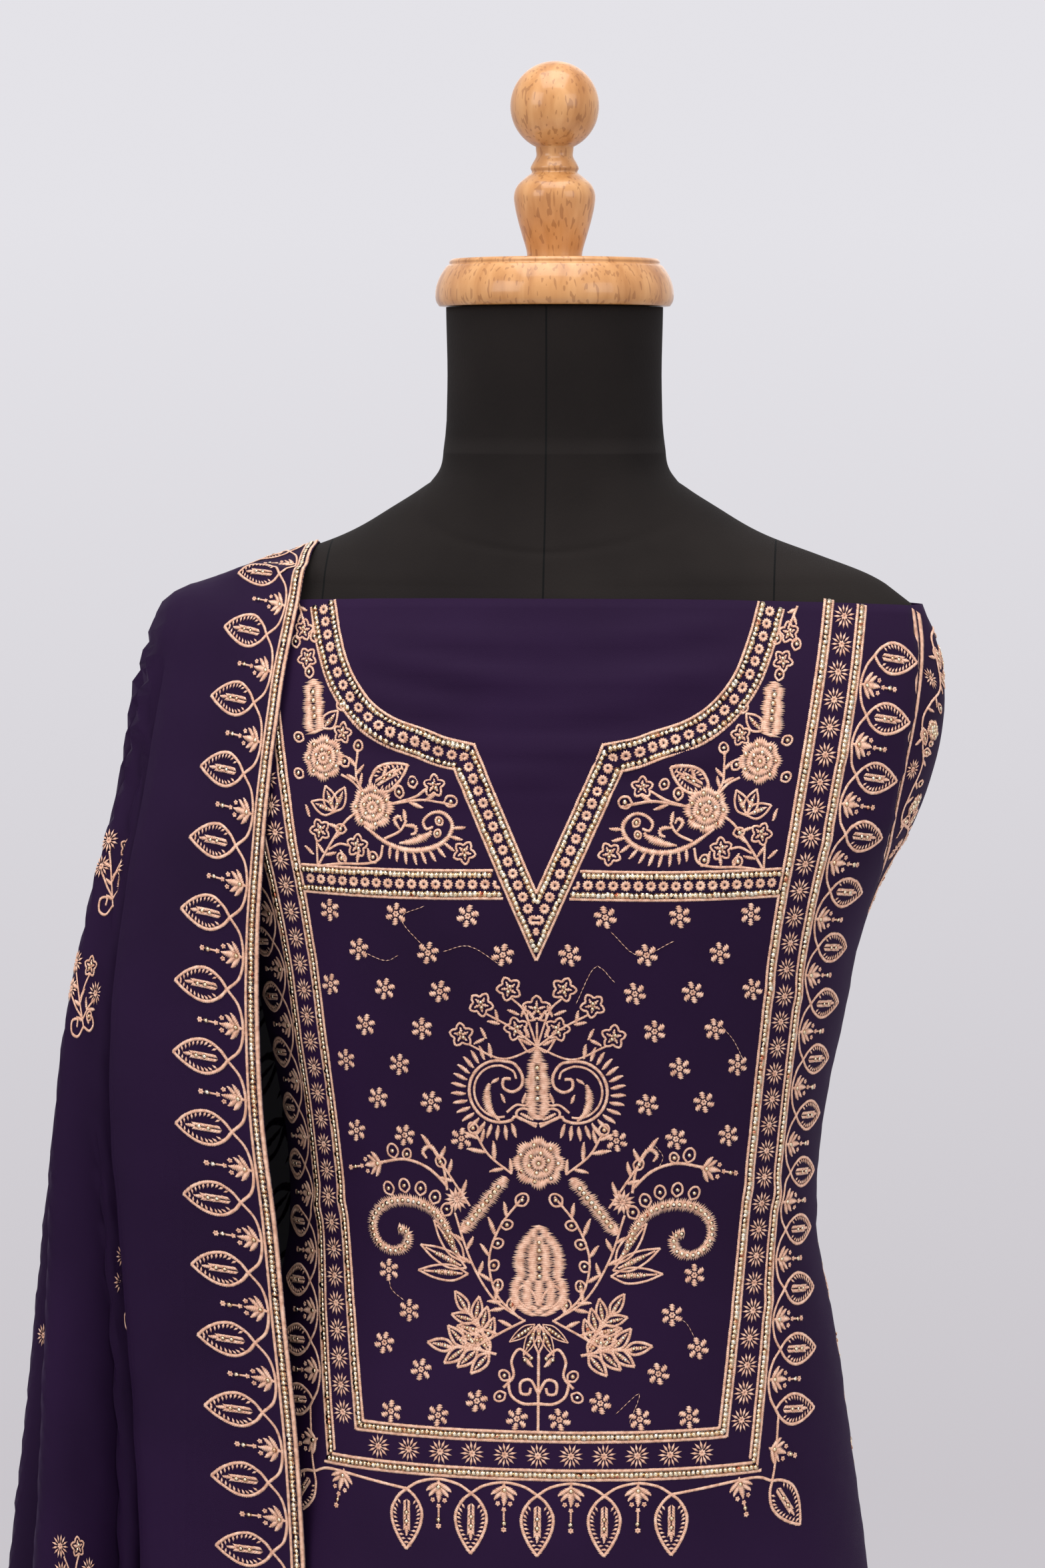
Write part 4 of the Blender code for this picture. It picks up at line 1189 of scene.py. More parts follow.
small_leaf, long_leaf, small_drop = leaf(8.0, 2.9), leaf(10.5, 3.2), drop(6.5)
fan_leaf = join(outlined_leaf(27, 8.6), cord([(3, 0), (24, 0)], 1.2, False))
feather = join(
    cord([(0, 0), (11, 1), (21, 0)], 1.4),
    scattered(outlined_leaf(11.5, 5.2), (
        (3, 0, 0.95), (8, 1, 0.85), (13, 1, 0.75), (3, 0, -0.95), (8, 1, -0.85), (13, 1, -0.75),
        (18, 0.5, 0.0),
    )),
)
motif_half = join(
    *(cord([(0, 1148), (x * 0.45, y - 12), (x * 0.9, y - 5)], 1.2) for x, y, _ in TULIPS),
    *(place(small_flower(6.3), x, y, t) for x, y, t in TULIPS),
    scattered(leaf(6.5, 2.5), (
        (3, 1149, 0.5), (4, 1153, 1.2), (9, 1165, 0.4), (8, 1164, 2.0), (19, 1160, 0.2),
        (20, 1161, 1.4), (26, 1152, 1.1), (27, 1152, -0.5), (1, 1162, 1.0),
    )),
    curl(),
    cord([(0.5, 1107), (5, 1108), (10.5, 1110.5), (10.5, 1114), (6, 1115), (1.5, 1110)], 1.6),
    satin([(2.5, 1109), (9, 1112.5)], [0.8, 2.6, 1.6]),
    sprays([(14, 1080), (26, 1090), (33, 1102)], (
        (0.05, 0.8, small_leaf), (0.2, -0.9, small_leaf), (0.4, 0.8, long_leaf),
        (0.6, -0.8, long_leaf), (0.8, 0.7, small_leaf), (0.9, -0.7, small_leaf), (1.0, 0.1, small_drop),
    )),
    sprays([(36, 1062), (44, 1074), (50, 1083)], (
        (0.3, 0.9, small_leaf), (0.6, -0.8, small_leaf), (0.8, 0.8, small_leaf), (1.0, 0, small_drop),
    )),
    satin([(17, 1078), (40, 1048)], [5.0, 9.4, 7.2, 9.8, 7.4, 9.8, 7.4, 9.2, 5.0], 1.35),
    sequins([(20, 1074), (38, 1051)], False, 3.4, 3.2),
    place(rays(13, 0.6, 7.0, 2.0), 43, 1065),
    place(rays(7, 0.0, 2.2, 1.5), 43, 1065),
    cord([(48, 1070), (50, 1082), (55, 1091)], 1.7),
    satin([(52, 1088), (57, 1093), (61, 1090), (59, 1086.5)], [1.2, 3.0, 3.0, 1.5]),
    place(leaf(8, 3.0), 52, 1086, 2.0),
    place(leaf(9, 3.2), 56, 1092, 0.9),
    cord([(48, 1072), (58, 1081), (71, 1085), (86, 1082)], 1.9),
    place(drop(8), 77, 1085, 1.3),
    place(drop(6), 71, 1085, 1.9),
    place(border_bell(23), 84, 1082, -0.22),
    satin(horn_line, [3.0, 6.2, 7.4, 7.8, 7.8, 7.6, 7.0, 6.4, 6.0, 7.2, 6.4], 1.35),
    sequins(horn_line, True, 3.1, 2.8),
    scattered(drop(7.5), (
        (50, 1056, 2.0), (56, 1062, 1.9), (63, 1066, 1.7), (71, 1067, 1.4), (79, 1065, 1.1),
    )),
    sprays([(8, 1003), (24, 1014), (36, 1034), (44, 1058)], (
        (0.12, 0.9, small_leaf), (0.22, -0.8, small_leaf), (0.34, 0.9, long_leaf),
        (0.56, 0.8, small_leaf), (0.66, -0.7, small_leaf), (0.76, 0.8, small_leaf),
        (0.86, -0.7, leaf(6, 2.2)), (0.93, 0.6, leaf(6, 2.2)),
    )),
    scattered(fan_leaf, (
        (39, 1032, 0.92), (38, 1029, 0.42), (37, 1026, 0.02),
    )),
    sprays([(10, 1004), (22, 1016), (26, 1034), (20, 1052), (8, 1068)], (
        (0.10, 0.8, small_drop), (0.20, -0.8, small_leaf), (0.30, 0.8, small_drop),
        (0.38, -0.8, small_leaf), (0.46, 0.8, small_drop), (0.54, -0.8, small_leaf),
        (0.62, 0.8, small_drop), (0.70, -0.8, long_leaf), (0.78, 0.8, small_drop),
        (0.86, -0.8, small_leaf), (0.96, 0.1, drop(8)),
    )),
    sprays([(7, 1003), (20, 996), (30, 990)], ((0.3, 0.9, small_leaf), (0.6, 0.8, small_leaf))),
    place(feather, 26, 989, 0.98, 1.12),
    place(feather, 22, 985, 0.10, 1.25),
    place(fan_leaf, 2, 1001, -0.62, 0.60),
    place(fan_leaf, 1, 1000, -1.15, 0.62),
    cord([(4, 984), (10, 988), (14, 982), (13, 974), (18, 968)], 1.7),
    cord([(0, 965), (4, 972), (9, 971), (9, 965.5), (5, 965), (4, 968)], 1.8),
    cord([(0, 960), (8, 960), (14, 964), (16, 972)], 1.8),
    scattered(small_drop, ((15, 972, 0.7), (17, 965, -0.5))),
    place(leaf(7, 3.0), 3, 979, 0.8),
    sequins([(2, 984), (9, 982)], False, 3.0, 2.4),
)
motif_middle = join(
    place(small_flower(7.2), 0, 1168, math.pi / 2),
    cord([(0, 1148), (0, 1161)], 1.3, False),
    fill((1110, 1148), [4.0, 6.4, 7.0, 5.6, 7.0, 5.0, 5.4, 3.0, 1.0], 6.5),
    sequins([(0, 1118), (0, 1140)], False, 5.0, 2.8),
    place(round_flower(14.8), 0, 1086),
    fill((1006, 1053), [7.0, 14.5, 15.6, 15.0, 12.2, 13.8, 13.0, 11.0, 7.0, 2.5], 6.2),
    both_sides(cord([(1, 1009), (7, 1010), (12, 1016), (8, 1021), (3, 1017), (0.5, 1011)], 1.6)),
    sequins([(0, 1024), (0, 1046)], False, 4.4, 2.8),
    place(outlined_leaf(15, 6.0), 0, 1001, -math.pi / 2),
    cord([(0, 986), (0, 946)], 1.8, False),
)

# a corner panel between the neck band, the bar and the side band, on the right
spray_line = [
    (90, 1259.5), (78, 1251.5), (66, 1248), (54, 1249.5), (46, 1254.5), (43.5, 1261.5), (48, 1267),
    (54, 1267), (58.5, 1263), (57, 1259), (53.5, 1260),
]
little_leaf = leaf(6.5, 2.5)
corner_panel = join(
    place(round_flower(12.6), 86, 1269),
    place(round_flower(12.6), 113.5, 1293),
    place(fill((0, 27), [4.5, 6.6, 5.2, 6.4, 5.0, 6.0, 2.0], 6.3), 119, 1306, -0.08),
    sequins([(119, 1312), (121, 1328)], False, 4.5, 3.0),
    place(outlined_leaf(12, 8), 114, 1308, 2.3),
    place(border_leaf(23, 13), 87, 1279, 2.62),
    place(little_leaf, 80, 1284, 1.9),
    satin(spray_line, [1.6, 2.4, 3.0, 3.4, 3.6, 3.4, 3.0, 2.6, 2.2, 2.0, 1.6]),
    teeth(spray_line[1:6], 6.4, 1, 4.2, 2.5),
    satin([(71, 1251.5), (64, 1252.5), (56, 1256), (54.5, 1258)], [1.2, 4.0, 5.6, 2.0], 1.2),
    place(drop(4.5), 49, 1261, 1.0),
    place(drop(4.0), 52, 1255, 2.0),
    cord([(79, 1253.5), (71, 1257.5), (67.5, 1263)], 1.6),
    place(leaf(6.0, 3.0), 68, 1262.5, 1.4),
    satin([(71, 1258.5), (74, 1263), (71.5, 1265), (70, 1262.5)], [1.2, 2.6, 2.4, 1.2]),
    satin([(69, 1260.5), (63, 1260), (62.5, 1257), (65, 1256)], [1.2, 2.6, 2.6, 1.4]),
    cord([(76, 1271), (64, 1274.5), (57, 1278.5)], 1.5),
    cord([(76, 1271), (60, 1273.5), (50, 1272.5), (42, 1271)], 1.5),
    place(leaf(7.5, 2.8), 66, 1272, -2.8),
    place(leaf(7.0, 2.8), 58, 1273, 2.6),
    place(drop(7.0), 48, 1272.5, 3.0),
    sprays([(91, 1277), (94.5, 1284), (94.5, 1298)], (
        (0.25, 0.8, little_leaf), (0.45, -0.8, little_leaf), (0.60, 0.8, little_leaf),
        (0.75, -0.8, little_leaf), (1.0, 0.1, drop(6.0)),
    )),
    cord([(91, 1276), (97, 1282), (103, 1285)], 1.5),
    place(small_flower(5.6), 53, 1280.5, 0.3),
    place(small_flower(5.8), 37, 1247.5, 0.8),
    place(small_flower(5.8), 94, 1249.5, 0.4),
    place(small_flower(5.8), 115, 1256.5, 1.2),
    place(small_flower(5.2), 103, 1306, 0.5),
    place(small_flower(5.4), 129, 1357, 0.4),
    place(small_flower(5.4), 125.5, 1343, 1.0),
    cord([(117, 1238), (109, 1250), (101, 1261), (95, 1266)], 1.6),
    cord([(110, 1247), (104, 1250), (99, 1249.5)], 1.4),
    cord([(117, 1238), (104, 1240), (90, 1240.5), (82, 1243), (80, 1250)], 1.5),
    cord([(117, 1238), (117, 1251)], 1.4, False),
    *(place(outlined_leaf(14, 7.5), 107, 1266, t) for t in (0.35, 1.2, 2.0)),
    scattered(little_leaf, (
        (108, 1252, 2.5), (113, 1245, 0.9), (112, 1244, 2.9), (101, 1241, 1.2), (94, 1241, 1.7),
        (87, 1242, 1.4), (119, 1244, 0.7), (121, 1263, 1.2), (104, 1258, 0.3),
    )),
    scattered(drop(6), (
        (63, 1279, 1.2), (71, 1274, 1.5), (99, 1289, 0.9), (100, 1257, 0.2), (101, 1240, 1.0),
        (84, 1241, 1.2), (125, 1302, 0.4), (123, 1333, 1.4), (132, 1348, 1.3), (121, 1351, 1.2),
        (104, 1317, 1.4), (125, 1283, 0.6),
    )),
    sprig([(134, 1370), (131, 1364)], leaf(5, 2.4), 4.0),
)
motif_work = join(both_sides(join(motif_half, corner_panel)), motif_middle)


def loose_thread(points):
    """A thin thread that was carried over the cloth or left uncut."""
    x, y, turn, _ = run(points, 2.6)
    return sewn(x, y, turn, 3.1, 0.42)


LOOSE_THREADS = [
    [(-81, 1022), (-79, 1015), (-72, 1010)], [(69, 1003), (76, 1001), (82, 991)],
    [(38, 1208), (52, 1196), (70, 1203)], [(-56, 1197), (-70, 1213), (-58, 1220)],
    [(-17, 1190), (-34, 1200), (-48, 1197)], [(20, 1171), (30, 1190), (40, 1182)],
    [(60, 1095), (64, 1089), (62, 1083)], [(-95, 1196), (-80, 1191), (-72, 1194)],
    [(93, 1160), (102, 1150), (108, 1139)], [(40, 955), (52, 965), (47, 950)],
]
motif_work = join(motif_work, *(loose_thread(line) for line in LOOSE_THREADS))
front_work = {"neck": neck_work, "yoke_border": frame_work, "motif": join(motif_work, floret_work)}
for seed, (label, work) in enumerate(front_work.items()):
    sew(f"{label}_thread", work, front_at, peach_thread, THREAD_SIDES, seed)
sew("front_sequins", join(*front_work.values()), front_at, champagne, SEQUIN_SIDES, 20)

# The back panel's side borders
# The back is cut from a sheet with the same border down each side: a corded edge beside the
# front's edge, then a flowering vine. It shows at the armhole on the right, and is sewn finely
# there only.
BACK_TOP = 1368.0
BACK_LOW = 350.0
VINE_REPEAT = 62.0
SHOWN_REPEATS = 4
PLAIN_STITCH_GAIN = 1.7


back_levels = np.arange(BACK_TOP, BACK_LOW, -12.0)
back_line = [(1.5 - back_half(z / 1000) * 1000, z) for z in back_levels]
back_length = line_length(back_line)


def edge_band_narrow(length):
    """Two cords side by side, 5 wide."""
    return join(*(cord([(0, y), (length, y)], 2.3, False) for y in (1.3, 4.0)))


def vine_repeat():
    """One bend of the vine: a flower, two leaves and florets, 62 long."""
    return join(
        cord([(0, 14), (15, 10), (31, 15), (46, 20), (62, 14)], 1.6),
        place(round_flower(8.0, 6), 16, 23),
        place(outlined_leaf(13, 7), 20, 12, 0.5),
        place(outlined_leaf(11, 6), 36, 17, 1.5),
        place(star(), 47, 11, size=0.9),
        scattered(leaf(6.5, 2.6), (
            (6, 12, 1.9), (28, 13, -0.8), (42, 19, 0.9), (55, 17, 0.5),
        )),
        place(drop(6), 57, 21, 1.2),
        place(drop(5.5), 30, 22, 2.0),
    )


def back_border(fine_repeats):
    """One side's border from its top down; past the fine repeats every other stitch is sewn."""
    fine = vine_repeat()
    plain = fine[::2] * np.array([1, 1, 1, 1, PLAIN_STITCH_GAIN, 1])
    starts = np.arange(0.0, back_length - VINE_REPEAT, VINE_REPEAT)
    vine = [place(fine if n < fine_repeats else plain, x) for n, x in enumerate(starts)]
    return follow(back_line, join(edge_band_narrow(back_length), *vine))


back_work = join(back_border(SHOWN_REPEATS), place(back_border(0), flip=True))
sew("back_side_thread", back_work, back_at_turned, peach_thread, THREAD_SIDES, 24)
sew("back_side_sequins", back_work, back_at_turned, champagne, SEQUIN_SIDES, 25)

# Dupatta
# One sheer crepe sheet, 2.2 by 0.86 m, over the wearer's right shoulder: its inner strip lies
# over the shoulder, and the rest hangs from the shoulder's tip in folds. It is sewn to nothing.
FALL_ROWS = [
    (1.4100, 0.1260, 0.1935, 0.0300, 0.1980, 0.0000),
    (1.3785, 0.1280, 0.1935, 0.0330, 0.2120, 0.0000),
    (1.3480, 0.1325, 0.1990, 0.0375, 0.2200, 0.0005),
    (1.3150, 0.1365, 0.2050, 0.0450, 0.2280, 0.0025),
    (1.2800, 0.1405, 0.2095, 0.0530, 0.2330, 0.0040),
    (1.2400, 0.1440, 0.2160, 0.0640, 0.2420, 0.0075),
    (1.2000, 0.1465, 0.2215, 0.0740, 0.2505, 0.0110),
    (1.1500, 0.1468, 0.2255, 0.0810, 0.2610, 0.0150),
    (1.1000, 0.1445, 0.2245, 0.0850, 0.2690, 0.0180),
    (1.0500, 0.1385, 0.2190, 0.0860, 0.2765, 0.0200),
    (1.0000, 0.1340, 0.2145, 0.0860, 0.2830, 0.0215),
    (0.9360, 0.1280, 0.2080, 0.0870, 0.2910, 0.0240),
    (0.8520, 0.1235, 0.2030, 0.0890, 0.3030, 0.0260),
    (0.7000, 0.1210, 0.2000, 0.1060, 0.3270, 0.0285),
    (0.5000, 0.1190, 0.1980, 0.1310, 0.3540, 0.0280),
    (0.3400, 0.1170, 0.1960, 0.1520, 0.3740, 0.0260),
    (0.0200, 0.1150, 0.1940, 0.1600, 0.3940, 0.0280),
]
SHOULDER_LINE = [(0.1260, 1.4022), (0.1500, 1.3935), (0.1700, 1.3862), (0.1935, 1.3785)]
DUPATTA_LENGTH = 2.20
DUPATTA_WIDTH = 0.86
SHOULDER_WIDTH = 0.080
SHOULDER_TIP = (0.1935, 1.3785)
TIP_ROUNDING = 0.030
LAY = 0.0045
LAY_START = 0.0015
STRIP_BULGE = 0.016
EDGE_LEAN = 1.3
EDGE_REACH = 0.014
FOLD_COUNT = 4
FOLD_ROUNDNESS = 0.30
FOLD_DRIFT = 0.10
FOLD_UNEVENNESS = 0.22
FOLD_FADE = 0.50
ASKEW = 0.050
FINE_FOLDS = ((15, 0.9, 0.0030, 0.12), (23, 2.3, 0.0018, 0.30))
# Where the folds tuck in deeply: turned from the back, share of the way in, half width
TUCKS = (
    (0.16, 0.62, 0.040), (0.42, 0.84, 0.045), (0.72, 0.80, 0.050), (1.00, 0.84, 0.045),
    (1.28, 0.78, 0.045), (1.60, 0.80, 0.050), (1.93, 0.62, 0.055), (2.24, 0.70, 0.060),
    (2.62, 0.58, 0.055), (2.93, 0.52, 0.045),
)

fall_inner, fall_line, fall_line_depth, fall_outer, fold_depth = (
    smooth_column(FALL_ROWS, k) for k in range(1, 6)
)


def eased(share):
    return share * share * (3 - 2 * share)


def section_depth(x, half, depth, power):
    """How far in front of the axis a section's outline is at x; 0 past its half width."""
    share = np.clip(np.abs(x) / half, 0, 1)
    return depth * np.maximum(1 - share**power, 0) ** (1 / power)


def cover_depth(x, height, front):
    """How far from the axis the form or the kameez reaches under the dupatta."""
    form_reach = form_front(height) if front else form_back(height)
    cloth_reach = kameez_front(height) if front else kameez_back(height)
    above = np.maximum(height - KAMEEZ_TOP, 0)
    half = kameez_half(height) - EDGE_LEAN * above
    form = section_depth(x, form_half(height), form_reach, form_power(height))
    cloth = section_depth(x, half, cloth_reach, kameez_power(height))
    cloth = cloth + FLUTE_DEPTH * flute_share(height)
    return np.maximum(form, np.where(above > EDGE_REACH, 0, cloth))


def rounding(drop):
    """The share of the full depth at a drop below the shoulder: a quarter round."""
    return np.sqrt(np.maximum(1 - (1 - np.clip(drop / TIP_ROUNDING, 0, 1)) ** 2, 0))


def drops(start, end=0.02, near=60, far=180):
    """Heights down a fall line, close together over the shoulder's rounding."""
    first = start - 0.08 * np.linspace(0, 1, near) ** 2
    return np.concatenate([first, np.linspace(first[-1], end, far)[1:]])


def resample(line, steps):
    """A fall line's points at steps of length."""
    lengths = lengths_so_far(*line)
    return np.stack([np.interp(steps, lengths, axis) for axis in line], -1)


def strip_line(share, front):
    """A line down the inner strip: share 0 is the dupatta's edge, 1 is under the tip."""
    line_x, line_z = np.array(SHOULDER_LINE).T
    start_x = line_x[0] + (line_x[-1] - line_x[0]) * share
    top = float(np.interp(start_x, line_x, line_z))
    z = drops(top)
    drop = top - z
    low = np.clip(drop / 0.25, 0, 1)
    x = fall_inner(z) + (fall_line(z) - fall_inner(z)) * share
    edge = np.maximum.accumulate(cover_depth(fall_inner(z), z, front) + LAY)
    hang = edge + (fall_line_depth(z) - edge) * share + STRIP_BULGE * share * (1 - share)
    sway = 0.010 + 0.012 * np.sin(9 * share + 3 * z + 1.5 * front)
    hang = hang + low * share * (1 - share) * sway
    y = hang * rounding(drop)
    if share < 1:
        cover = cover_depth(x, z, front) + LAY * np.sqrt(np.clip(drop / LAY_START, 0, 1))
        y = np.maximum(cover, y)
    y[0] = 0
    return x, y, z


def fold_line(turn_angle):
    """A line down the folds: turn_angle pi/2 is under the tip in front, -pi/2 behind."""
    z = drops(SHOULDER_TIP[1])
    drop = SHOULDER_TIP[1] - z
    ramp = rounding(drop)
    turned = turn_angle + math.pi / 2
    ends = np.clip(turned / FOLD_FADE, 0, 1) * np.clip((math.pi - turned) / FOLD_FADE, 0, 1)
    ends = eased(ends)
    phase = 2 * FOLD_COUNT * (turned + FOLD_DRIFT * math.sin(3 * turned))
    shifted = turn_angle - ends * FOLD_ROUNDNESS * math.sin(2 * phase) / (2 * FOLD_COUNT)
    depth = fold_depth(z)
    reach = (fall_outer(z) - fall_line(z) - depth) * ramp
    across = fall_line_depth(z) * ramp
    x = fall_line(z) + reach * math.cos(shifted)
    y = across * math.sin(shifted)
    out_x, out_y = across * math.cos(shifted), reach * math.sin(shifted)
    size = np.maximum(np.hypot(out_x, out_y), 1e-9)
    unevenness = min(1 + FOLD_UNEVENNESS * math.sin(5 * turned + 0.8), 1)
    wave = depth * unevenness * ends * math.sin(phase)
    for count, start, fine_depth, sway in FINE_FOLDS:
        spread = np.clip(drop / 0.30, 0, 1) ** 1.2
        wave = wave + spread * ends * fine_depth * np.sin(count * turned + start + sway * 20 * drop)
    room = np.minimum(reach, across) * np.clip(drop / 0.10, 0, 1) ** 0.5
    for place_turned, share, width in TUCKS:
        drift = 0.05 * np.sin(3 * drop + 40 * place_turned)
        wave = wave - share * room * np.exp(-(((turned - place_turned - drift) / width) ** 2))
    return x + wave * out_x / size, y + wave * out_y / size, z


table_steps = np.arange(0, 1.46, 0.005)
fold_turns = np.linspace(-math.pi / 2, math.pi / 2, 1081)
strip_shares = np.linspace(0, 1, 25)
fold_table = np.array([resample(fold_line(t), table_steps) for t in fold_turns])
for j in range(1, len(table_steps)):
    # the cloth is spread evenly along each ring of the folds, in their tucks too
    ring = fold_table[:, j]
    even = np.linspace(0, lengths_so_far(*ring.T)[-1], len(ring))
    fold_table[:, j] = resample(ring.T, even)
strip_tables = [
    np.array([resample(strip_line(s, front), table_steps) for s in strip_shares])
    for front in (False, True)
]


def dupatta_points(across, along):
    """The sheet's points: across from its inner edge, along from the shoulder, + in front.

    The sheet lies a little askew over the shoulder, so that its outer side is pulled forward.
    """
    along = along - ASKEW * np.clip(across / SHOULDER_WIDTH, 0, 1)
    on_strip = [
        look_up(table, strip_shares, table_steps, across / SHOULDER_WIDTH, np.abs(along))
        for table in strip_tables
    ]
    strip = np.where((along >= 0)[..., None], on_strip[1], on_strip[0])
    strip[..., 1] = np.copysign(strip[..., 1], along)
    past = np.maximum(across - SHOULDER_WIDTH, 0)
    folds = look_up(
        fold_table, fold_turns, table_steps, np.arctan2(along, past), np.hypot(along, past)
    )
    points = np.where((across <= SHOULDER_WIDTH)[..., None], strip, folds)
    return points * np.array([-1, -1, 1])


map_widths = np.arange(0, DUPATTA_WIDTH + 0.002, 0.004)
map_lengths = np.arange(-DUPATTA_LENGTH / 2, DUPATTA_LENGTH / 2 + 0.002, 0.004)
grid_w, grid_s = np.meshgrid(map_widths, map_lengths)
dupatta_base = dupatta_points(grid_w, grid_s)
dupatta_crumple = 0.0007 * waves(grid_w, grid_s, 41, 9, 0.16, 0.018)
soft_ridges = np.clip(waves(grid_w * 2.2, grid_s, 47, 4, 0.15, 0.05), 0, 1)
dupatta_crumple = np.maximum(dupatta_crumple + 0.0012 * soft_ridges, -0.0006)
dupatta_base = dupatta_base + outward(dupatta_base) * dupatta_crumple[..., None]
dupatta_at = cloth_map(map_widths, map_lengths, dupatta_base)

sheer = dyed_cloth(
    "sheer_purple_georgette", (0.0100, 0.0028, 0.0170), (0.0180, 0.0053, 0.0300),
    **SOFT_LUSTRE, Alpha=0.92,
)
sheet_widths = np.linspace(DUPATTA_WIDTH, 0, 106)
sheet_lengths = np.linspace(-DUPATTA_LENGTH / 2, DUPATTA_LENGTH / 2, 320)
grid_w, grid_s = np.meshgrid(sheet_widths, sheet_lengths)
dupatta_cloth = new_piece(
    "dupatta_cloth", grid_mesh("dupatta_cloth", dupatta_at(grid_w, grid_s)), sheer
)
give_wall(dupatta_cloth, CLOTH_THICKNESS)
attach(dupatta_cloth, "root")
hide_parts("dupatta_front_fall", "dupatta_shoulder", "dupatta_back_fall")

# Embroidery on the dupatta
# A cord-and-sequin edge all round it with leaves and bells on an arched vine, and small
# bouquets in staggered rows. The edge that shows in front is sewn finely, the rest plainly.
EDGE_LEAF_PITCH = 37.4
EDGE_LEAF_START = 34.0
EDGE_BAND = 8.0
PLAIN_SCALE = 3.0
SHOWN_START, SHOWN_END = -120.0, 1100.0
# Each bouquet's foot: across from the inner edge, along from the shoulder, + in front
BOUQUETS = [
    (0.140, 0.181), (0.170, 0.240), (0.160, 0.406), (0.150, 0.600), (0.160, 0.800), (0.150, 0.980),
    (0.310, 0.120), (0.310, 0.320), (0.300, 0.520), (0.310, 0.720), (0.300, 0.920),
    (0.460, 0.220), (0.470, 0.420), (0.460, 0.620), (0.470, 0.820), (0.620, 0.320), (0.620, 0.520),
    (0.620, 0.720), (0.620, 0.920), (0.770, 0.420), (0.770, 0.820), (0.160, -0.300), (0.160, -0.600),
    (0.160, -0.900), (0.380, -0.450), (0.380, -0.750), (0.600, -0.300), (0.600, -0.600),
    (0.600, -0.900),
]


def edge_band(length):
    """The dupatta's edge: a wide cord, a chain of sequins and a thin cord, 8 wide."""
    lines = [cord([(0, y), (length, y)], width, False) for y, width in ((1.5, 2.9), (7.2, 1.7))]
    return join(*lines, sequins([(0, 4.6), (length, 4.6)], False))


def fine_edge(start, end):
    """The finely sewn edge with its vine; x runs from the front end of the sheet to the back."""
    leaves = np.arange(EDGE_LEAF_START, end, EDGE_LEAF_PITCH)
    leaves = leaves[leaves > start]
    vine = scallops(leaves, EDGE_BAND, border_leaf(29.0, 17.5), border_bell(24.0), 9.0)
    return join(place(edge_band(end - start), start), vine)


def plain_leaf(length, width):
    side = [(0, 0), (length * 0.34, width / 2), (length * 0.80, width * 0.27), (length, 0)]
    heart = satin([(length * 0.15, 0), (length * 0.7, 0)], [0.6, width * 0.25, 0.5])
    return join(cord(side, 1.0), cord([(x, -y) for x, y in side], 1.0), heart)


def plain_edge(length):
    """The same edge in long stitches, made small and then enlarged."""
    short = length / PLAIN_SCALE
    pitch = EDGE_LEAF_PITCH / PLAIN_SCALE
    leaves = np.arange(pitch / 2, short, pitch)
    bell = join(*(place(leaf(2.8, 1.2), turn=t) for t in (-0.9, 0, 0.9)))
    vine = scallops(leaves, EDGE_BAND / PLAIN_SCALE, plain_leaf(9.6, 5.8), bell, 3.0)
    vine = vine[vine[:, 5] == THREAD]
    lines = [cord([(0, y), (short, y)], width, False) for y, width in ((0.5, 1.0), (2.4, 0.6))]
    return place(join(*lines, sequins([(0, 1.5), (short, 1.5)], False, 1.8), vine), size=PLAIN_SCALE)


def bouquet():
    """Three star flowers and a small one on a branching stem with a curled foot."""
    curl = [(0, 1), (-6, -3), (-11, 0), (-10, 6), (-5, 6), (-6, 2)]
    return join(
        cord([(0, 0), (-1.5, 14), (-3, 31)], 1.5),
        cord([(-1, 6), (-5, 12), (-8, 19)], 1.4),
        cord([(0, 5), (6, 10), (12, 13)], 1.4),
        cord([(-1, 14), (4, 22), (9, 27)], 1.4),
        cord(curl, 1.7),
        cord([(-0.8 * x, 0.8 * y) for x, y in curl], 1.7),
        *(place(star(), x, y, size=1.02) for x, y in ((-3, 37), (-9, 24), (13, 16))),
        place(small_flower(5.4), 10, 31),
        scattered(leaf(6.5, 2.8), (
            (-1, 12, 2.4), (-1, 16, 0.7), (-2, 22, 2.5), (4, 9, 1.5), (5, 9, -0.2), (0, 4, 2.6),
        )),
        place(drop(5.5), 4, 3, 0.9),
    )


sheet_long, sheet_wide = DUPATTA_LENGTH * 1000, DUPATTA_WIDTH * 1000
front_end, back_end = sheet_long / 2, -sheet_long / 2
shown = place(fine_edge(0, SHOWN_END - SHOWN_START), 0, SHOWN_END, -math.pi / 2)
shown = join(shown, loose_thread([(1, 30), (-3.5, 45), (-3, 62), (1.5, 78)]))
plain_sides = join(
    place(plain_edge(SHOWN_START - back_end), 0, SHOWN_START, -math.pi / 2),
    place(plain_edge(sheet_wide), 0, back_end, 0),
    place(plain_edge(sheet_long), sheet_wide, back_end, math.pi / 2),
    place(plain_edge(sheet_wide), sheet_wide, front_end, math.pi),
)
bouquets_sewn = scattered(
    bouquet(), [(w * 1000, (s + ASKEW) * 1000, math.pi if s > 0 else 0) for w, s in BOUQUETS]
)
sew("dupatta_edge_thread", shown, dupatta_at, peach_thread, THREAD_SIDES, 31)
sew(
    "dupatta_plain_edge_thread", plain_sides, dupatta_at, peach_thread, THREAD_SIDES, 32
)
sew(
    "dupatta_bouquet_thread", bouquets_sewn, dupatta_at, peach_thread, THREAD_SIDES, 33
)
sew(
    "dupatta_sequins", join(shown, plain_sides, bouquets_sewn), dupatta_at, champagne, SEQUIN_SIDES, 34
)

